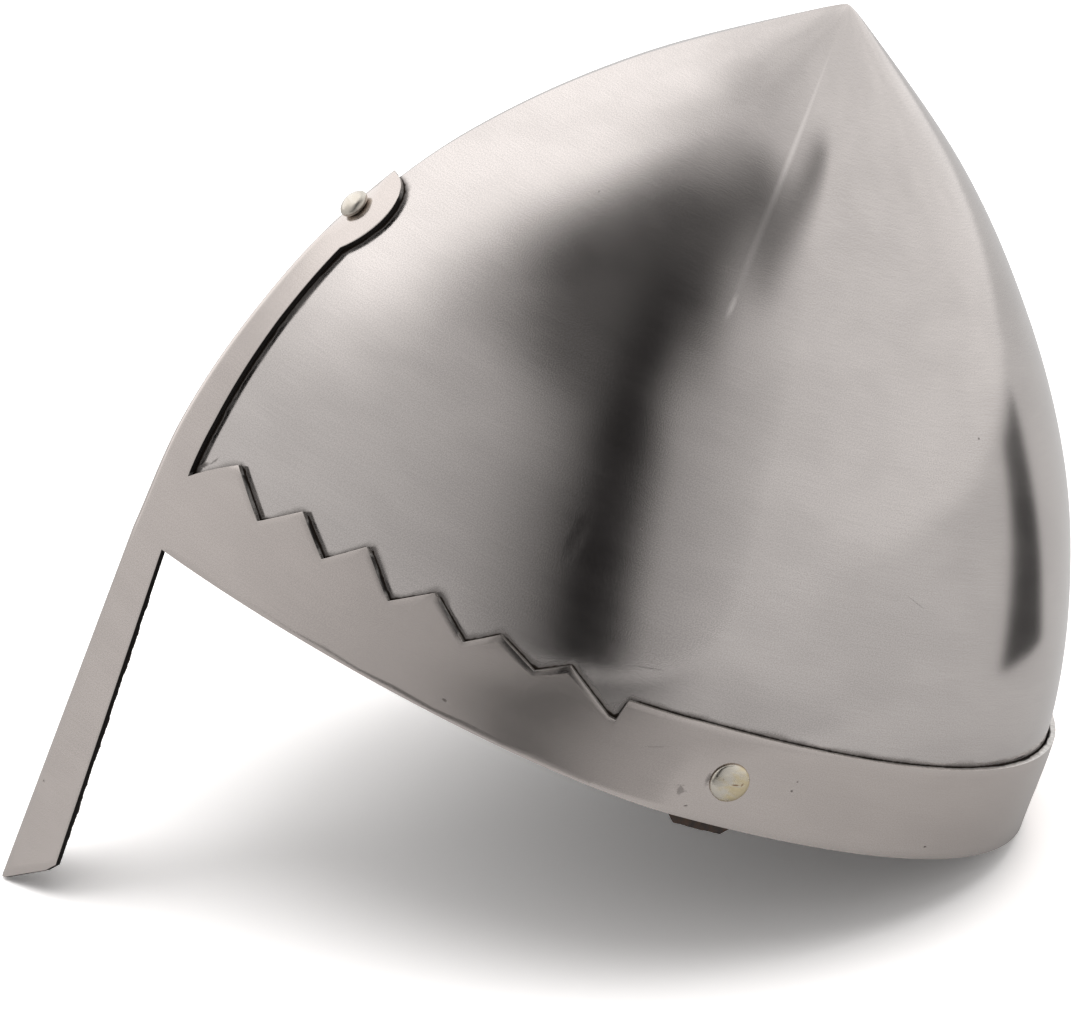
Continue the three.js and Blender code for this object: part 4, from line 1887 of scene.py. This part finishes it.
@dataclass(frozen=True)
class Fastenings:
    """The rivets and the leather that they hold."""

    side_arc: float = 162.2
    side_height: float = 11.2
    side_radius: float = 4.75
    side_rise: float = 1.75
    side_gap: float = 0.05
    side_peen: float = -3.75
    front_radius: float = 3.7
    front_rise: float = 3.1
    front_base: float = 1.0
    front_peen: float = -3.4
    front_undercut: float = 0.8
    front_belly: float = 1.1
    front_tarnish: Colour = (0.6, 0.55, 0.48)
    right_tarnish_side: tuple[float, float] = (-0.8, 0.5)
    left_marks: tuple[Mark, ...] = (
        Mark(0.9, 0.35, 2.6, 0.55, turn=6.0, stain=0.85, uneven=0.8),
        Mark(2.5, 0.75, 1.3, 0.55, turn=70.0, stain=0.75, uneven=0.7),
        Mark(-2.4, 0.9, 0.9, 0.5, turn=70.0, stain=0.35, uneven=1.2),
    )

    def rivets(self) -> list[Rivet]:
        """The front rivet on the ridge and one above each tab.

        Returns:
            The three rivets.
        """
        temple = float(FORM.station_of_arc(np.array(self.side_arc)))
        side = {
            "height": self.side_height, "head_radius": self.side_radius,
            "head_height": self.side_rise, "head_base": BrowBand.outer + self.side_gap,
            "peen_base": self.side_peen,
        }
        ridge = {
            "height": FORM.seat_height, "head_radius": self.front_radius,
            "head_height": self.front_rise, "head_base": self.front_base,
            "peen_base": self.front_peen, "undercut": self.front_undercut, "belly": self.front_belly,
        }
        front = RivetSteel(
            "rivet_steel_front", tarnish=self.front_tarnish, head_radius=self.front_radius
        )
        left = RivetSteel("rivet_steel_left", marks=self.left_marks)
        right = RivetSteel("rivet_steel_right", tarnish_side=self.right_tarnish_side)
        return [
            Rivet("rivet_front", 0.0, finish=front, **ridge),
            Rivet("rivet_left", temple, finish=left, **side),
            Rivet("rivet_right", -temple, finish=right, **side),
        ]

    def build(self, effects: Effects, band: BrowBand) -> None:
        """Makes the rivets, the nasal's lining and the two tabs.

        Args:
            effects: the shared node groups.
            band: the band, whose nasal is lined.
        """
        for rivet in self.rivets():
            rivet.build(effects)
        NasalLining().build(effects, band)
        hide = OiledLeather("tab_leather").material(effects)
        for side in Side:
            LeatherTab(side).build(hide)


@dataclass(frozen=True)
class SoftBox:
    """A bright or dark panel of the studio, by the direction in which it stands from the helmet."""

    azimuth: float
    elevation: float
    half_width: float
    half_height: float
    softness: float
    level: float


@dataclass(frozen=True)
class Wedge:
    """A dark wedge on a card: its middle's x and its half width, each at y = 0 and per metre of y."""

    middle: float
    drift: float
    half: float
    spread: float
    soft: tuple[float, float] = (1.25, 0.75)


@dataclass(frozen=True)
class Card:
    """A card on the floor that only reflections see, by its lowest and highest x and y."""

    name: str
    low: tuple[float, float]
    high: tuple[float, float]
    albedo: float
    fade: tuple[float, float] = (0.0, 0.0)
    wedge: Wedge | None = None

    def shade(self, wiring: Wiring, floor_albedo: float) -> Socket:
        """How dark the card is: within its wedge, or until it fades out along y.

        Args:
            wiring: the card's material.
            floor_albedo: what it fades out to.

        Returns:
            The albedo over the card's face.
        """
        place = wiring.node("ShaderNodeTexCoord").outputs["Object"]
        parts = wiring.node("ShaderNodeSeparateXYZ", {0: place}).outputs
        if self.wedge is None:
            return wiring.ease(parts[1], *self.fade, self.albedo, floor_albedo)
        wedge = self.wedge
        middle = wiring.maths("ADD", wiring.maths("MULTIPLY", parts[1], wedge.drift), wedge.middle)
        half = wiring.maths("ADD", wiring.maths("MULTIPLY", parts[1], wedge.spread), wedge.half)
        aside = wiring.maths("ABSOLUTE", wiring.maths("SUBTRACT", parts[0], middle))
        share = wiring.maths("DIVIDE", aside, half)
        return wiring.ease(share, *wedge.soft, floor_albedo, self.albedo)


@dataclass(frozen=True)
class Overhead:
    """The broad light from above that the steel doesn't mirror, by its direction and spread."""

    azimuth: float
    elevation: float
    spread: float
    strength: float


@dataclass(frozen=True)
class Studio:
    """The camera, the soft boxes round the helmet and the floor that it lies on."""

    eye: tuple[float, float, float] = (1.58554, -0.38285, 0.80278)
    azimuth: float = 13.621
    elevation: float = 23.866
    roll: float = -0.179
    lens: float = 254.265
    clip_end: float = 20.0
    sensor: float = 36.0
    floor_size: float = 12.0
    floor_albedo: float = 0.6
    floor_seen: tuple[float, float, float] = (1.45, 1.42, 1.405)
    overhead: Overhead = Overhead(120.0, 84.0, 50.0, 0.9)
    card_lift: float = 0.001
    brightest: float = 1.8
    walls: tuple[tuple[float, float], ...] = (
        (-180, 0.95), (-160, 1.05), (-135, 1.2), (-105, 1.0), (-80, 1.45), (-45, 1.5), (-28, 0.8),
        (0, 0.8), (18, 0.65), (34, 0.5), (46, 0.22), (54, 0.0), (64, 0.02), (73, 0.43), (90, 0.57),
        (110, 0.7), (135, 0.85), (155, 0.9), (180, 0.95),
    )
    boxes: tuple[SoftBox, ...] = (
        SoftBox(0, 90, 400, 16, 8, 0.72),
        SoftBox(-42, 57, 50, 24, 10, 1.5),
        SoftBox(130, 58, 28, 6.5, 7, 0.27),
        SoftBox(54, 59, 32, 12, 12, 0.0),
        SoftBox(43, 51, 10, 12, 8, 0.1),
        SoftBox(74, 70, 47, 10, 14, 0.1),
    )
    cards: tuple[Card, ...] = (
        Card("black_card", (-0.5, 0.23), (0.15, 2.2), 0.06, wedge=Wedge(0.075, -0.17, 0.012, 0.1)),
        # The second card is painted shadow: floor that only the steel sees, darker where the helmet
        # shades the floor in front of it.
        Card("floor_shade_card", (0.2, -1.2), (1.6, 0.6), 0.1, (-0.45, 0.3)),
    )

    def camera(self) -> None:
        """Adds the camera at the photograph's place and angle."""
        turn, lift = math.radians(self.azimuth), math.radians(self.elevation)
        level = math.cos(lift)
        back = Vector((level * math.cos(turn), -level * math.sin(turn), math.sin(lift)))
        right = Vector((math.sin(turn), math.cos(turn), 0.0))
        up = back.cross(right)
        roll = math.radians(self.roll)
        side = right * math.cos(roll) + up * math.sin(roll)
        top = up * math.cos(roll) - right * math.sin(roll)
        data = bpy.data.cameras.new("camera")
        data.lens = self.lens
        data.sensor_width = self.sensor
        data.clip_end = self.clip_end
        camera = bpy.data.objects.new("camera", data)
        bpy.context.scene.collection.objects.link(camera)
        axes = Matrix((side, top, back)).transposed().to_4x4()
        camera.matrix_world = Matrix.Translation(self.eye) @ axes
        bpy.context.scene.camera = camera

    def stage_plane(
        self, name: str, low: tuple[float, float], high: tuple[float, float], level: float
    ) -> bpy.types.Object:
        """Adds a level rectangle of the stage.

        Args:
            name: the object's name.
            low: its lowest x and y.
            high: its highest x and y.
            level: its height.

        Returns:
            The rectangle.
        """
        deselect()
        centre = ((low[0] + high[0]) / 2, (low[1] + high[1]) / 2, level)
        bpy.ops.mesh.primitive_plane_add(size=1, location=centre)
        plane = bpy.context.object
        plane.name = name
        bpy.ops.transform.resize(value=(high[0] - low[0], high[1] - low[1], 1), center_override=centre)
        bpy.ops.object.transform_apply(location=True, rotation=True, scale=True)
        return plane

    def floor(self) -> None:
        """Adds the pale floor, which the camera sees brighter than it lights the steel."""
        half = self.floor_size / 2
        floor = self.stage_plane("floor", (-half, -half), (half, half), 0.0)
        material, wiring, shader = fresh_material("pale_floor")
        wiring.tree.nodes.remove(shader)
        ray = wiring.node("ShaderNodeLightPath").outputs["Is Camera Ray"]
        colour = wiring.blend(ray, (self.floor_albedo,) * 3, self.floor_seen)
        paper = wiring.node("ShaderNodeBsdfDiffuse", {"Color": colour})
        output = next(node for node in wiring.tree.nodes if node.type == "OUTPUT_MATERIAL")
        wiring.feed(output.inputs["Surface"], paper.outputs[0])
        floor.data.materials.append(material)

    def card(self, card: Card) -> None:
        """Adds a card on the floor, seen only in the steel.

        Args:
            card: the card.
        """
        plane = self.stage_plane(card.name, card.low, card.high, self.card_lift)
        material, wiring, shader = fresh_material(card.name)
        shade = card.shade(wiring, self.floor_albedo)
        wiring.feed(shader.inputs["Base Color"], shade)
        shader.inputs["Specular IOR Level"].default_value = 0.0
        plane.data.materials.append(material)
        plane.visible_camera = False
        plane.visible_diffuse = False
        plane.visible_shadow = False

    def box_group(self) -> bpy.types.NodeTree:
        """The node group that lays one soft box over the levels behind it.

        Returns:
            The group.
        """
        names = ["Below", "Azimuth", "Elevation", "Centre", "Height"]
        names += ["Half Width", "Half Height", "Softness", "Level"]
        wiring, given, result = shader_group("soft_box", dict.fromkeys(names, "Float"), ["Level"])
        turn = wiring.maths("SUBTRACT", given["Azimuth"], given["Centre"])
        wrap = wiring.node("ShaderNodeMath", {0: turn, 1: 180.0, 2: -180.0}, operation="WRAP")
        lift = wiring.maths("SUBTRACT", given["Elevation"], given["Height"])
        masks = []
        for distance, half in ((wrap.outputs[0], "Half Width"), (lift, "Half Height")):
            start = wiring.maths("ADD", given[half], given["Softness"])
            end = wiring.maths("SUBTRACT", given[half], given["Softness"])
            masks.append(wiring.ease(wiring.maths("ABSOLUTE", distance), start, end))
        mask = wiring.maths("MULTIPLY", masks[0], masks[1])
        step = wiring.maths("SUBTRACT", given["Level"], given["Below"])
        raised = wiring.maths("ADD", given["Below"], wiring.maths("MULTIPLY", step, mask))
        wiring.feed(result.inputs["Level"], raised)
        return wiring.tree

    def world(self) -> None:
        """Sets up the walls and the soft boxes as a sky that depends on direction."""
        world = bpy.data.worlds.new("soft_boxes")
        bpy.context.scene.world = world
        world.use_nodes = True
        world.node_tree.nodes.clear()
        wiring = Wiring(world.node_tree)
        direction = wiring.node("ShaderNodeTexCoord").outputs["Generated"]
        parts = wiring.node("ShaderNodeSeparateXYZ", {0: direction}).outputs
        back = wiring.maths("MULTIPLY", parts[1], -1.0)
        azimuth = wiring.maths("DEGREES", wiring.maths("ARCTAN2", parts[0], back))
        elevation = wiring.maths("DEGREES", wiring.maths("ARCSINE", parts[2]))
        ramp = wiring.node("ShaderNodeValToRGB")
        elements = ramp.color_ramp.elements
        elements.remove(elements[-1])
        for index, (degrees, level) in enumerate(self.walls):
            place = degrees / 360 + 0.5
            element = elements[0] if index == 0 else elements.new(place)
            element.position = place
            element.color = (*(level / self.brightest,) * 3, 1.0)
        share = wiring.maths("ADD", wiring.maths("DIVIDE", azimuth, 360.0), 0.5)
        wiring.feed(ramp.inputs[0], share)
        level = wiring.maths("MULTIPLY", ramp.outputs[0], self.brightest)
        group = self.box_group()
        for box in self.boxes:
            level = wiring.group(group, {
                "Below": level, "Azimuth": azimuth, "Elevation": elevation,
                "Centre": box.azimuth, "Height": box.elevation,
                "Half Width": box.half_width, "Half Height": box.half_height,
                "Softness": box.softness, "Level": box.level,
            })["Level"]
        plain = (1.0, 1.0, 1.0, 1.0)
        light = wiring.node("ShaderNodeBackground", {"Color": plain, "Strength": level})
        white = wiring.node("ShaderNodeBackground", {"Color": plain})
        ray = wiring.node("ShaderNodeLightPath").outputs["Is Camera Ray"]
        pick = wiring.node("ShaderNodeMixShader", {0: ray, 1: light.outputs[0], 2: white.outputs[0]})
        wiring.node("ShaderNodeOutputWorld", {"Surface": pick.outputs[0]})

    def light_from_above(self) -> None:
        """Adds the broad light over the floor."""
        turn, lift = math.radians(self.overhead.azimuth), math.radians(self.overhead.elevation)
        level = math.cos(lift)
        away = Vector((level * math.sin(turn), -level * math.cos(turn), math.sin(lift)))
        data = bpy.data.lights.new("overhead", "SUN")
        data.energy = self.overhead.strength
        data.angle = math.radians(self.overhead.spread)
        light = bpy.data.objects.new("overhead", data)
        bpy.context.scene.collection.objects.link(light)
        light.location = away
        light.rotation_euler = away.to_track_quat("Z", "Y").to_euler()
        light.visible_glossy = False

    def build(self) -> None:
        """Adds the whole studio."""
        bpy.context.scene.view_settings.view_transform = "Standard"
        self.camera()
        self.floor()
        for card in self.cards:
            self.card(card)
        self.light_from_above()
        self.world()


def main() -> None:
    """Builds the helmet's pieces and the studio round them."""
    logging.basicConfig(level=logging.INFO, format="%(name)s %(message)s")
    effects = Effects()
    band = BrowBand()
    Skull().build(effects, band)
    band.build(effects)
    Fastenings().build(effects, band)
    Studio().build()


if __name__ == "__main__":
    main()
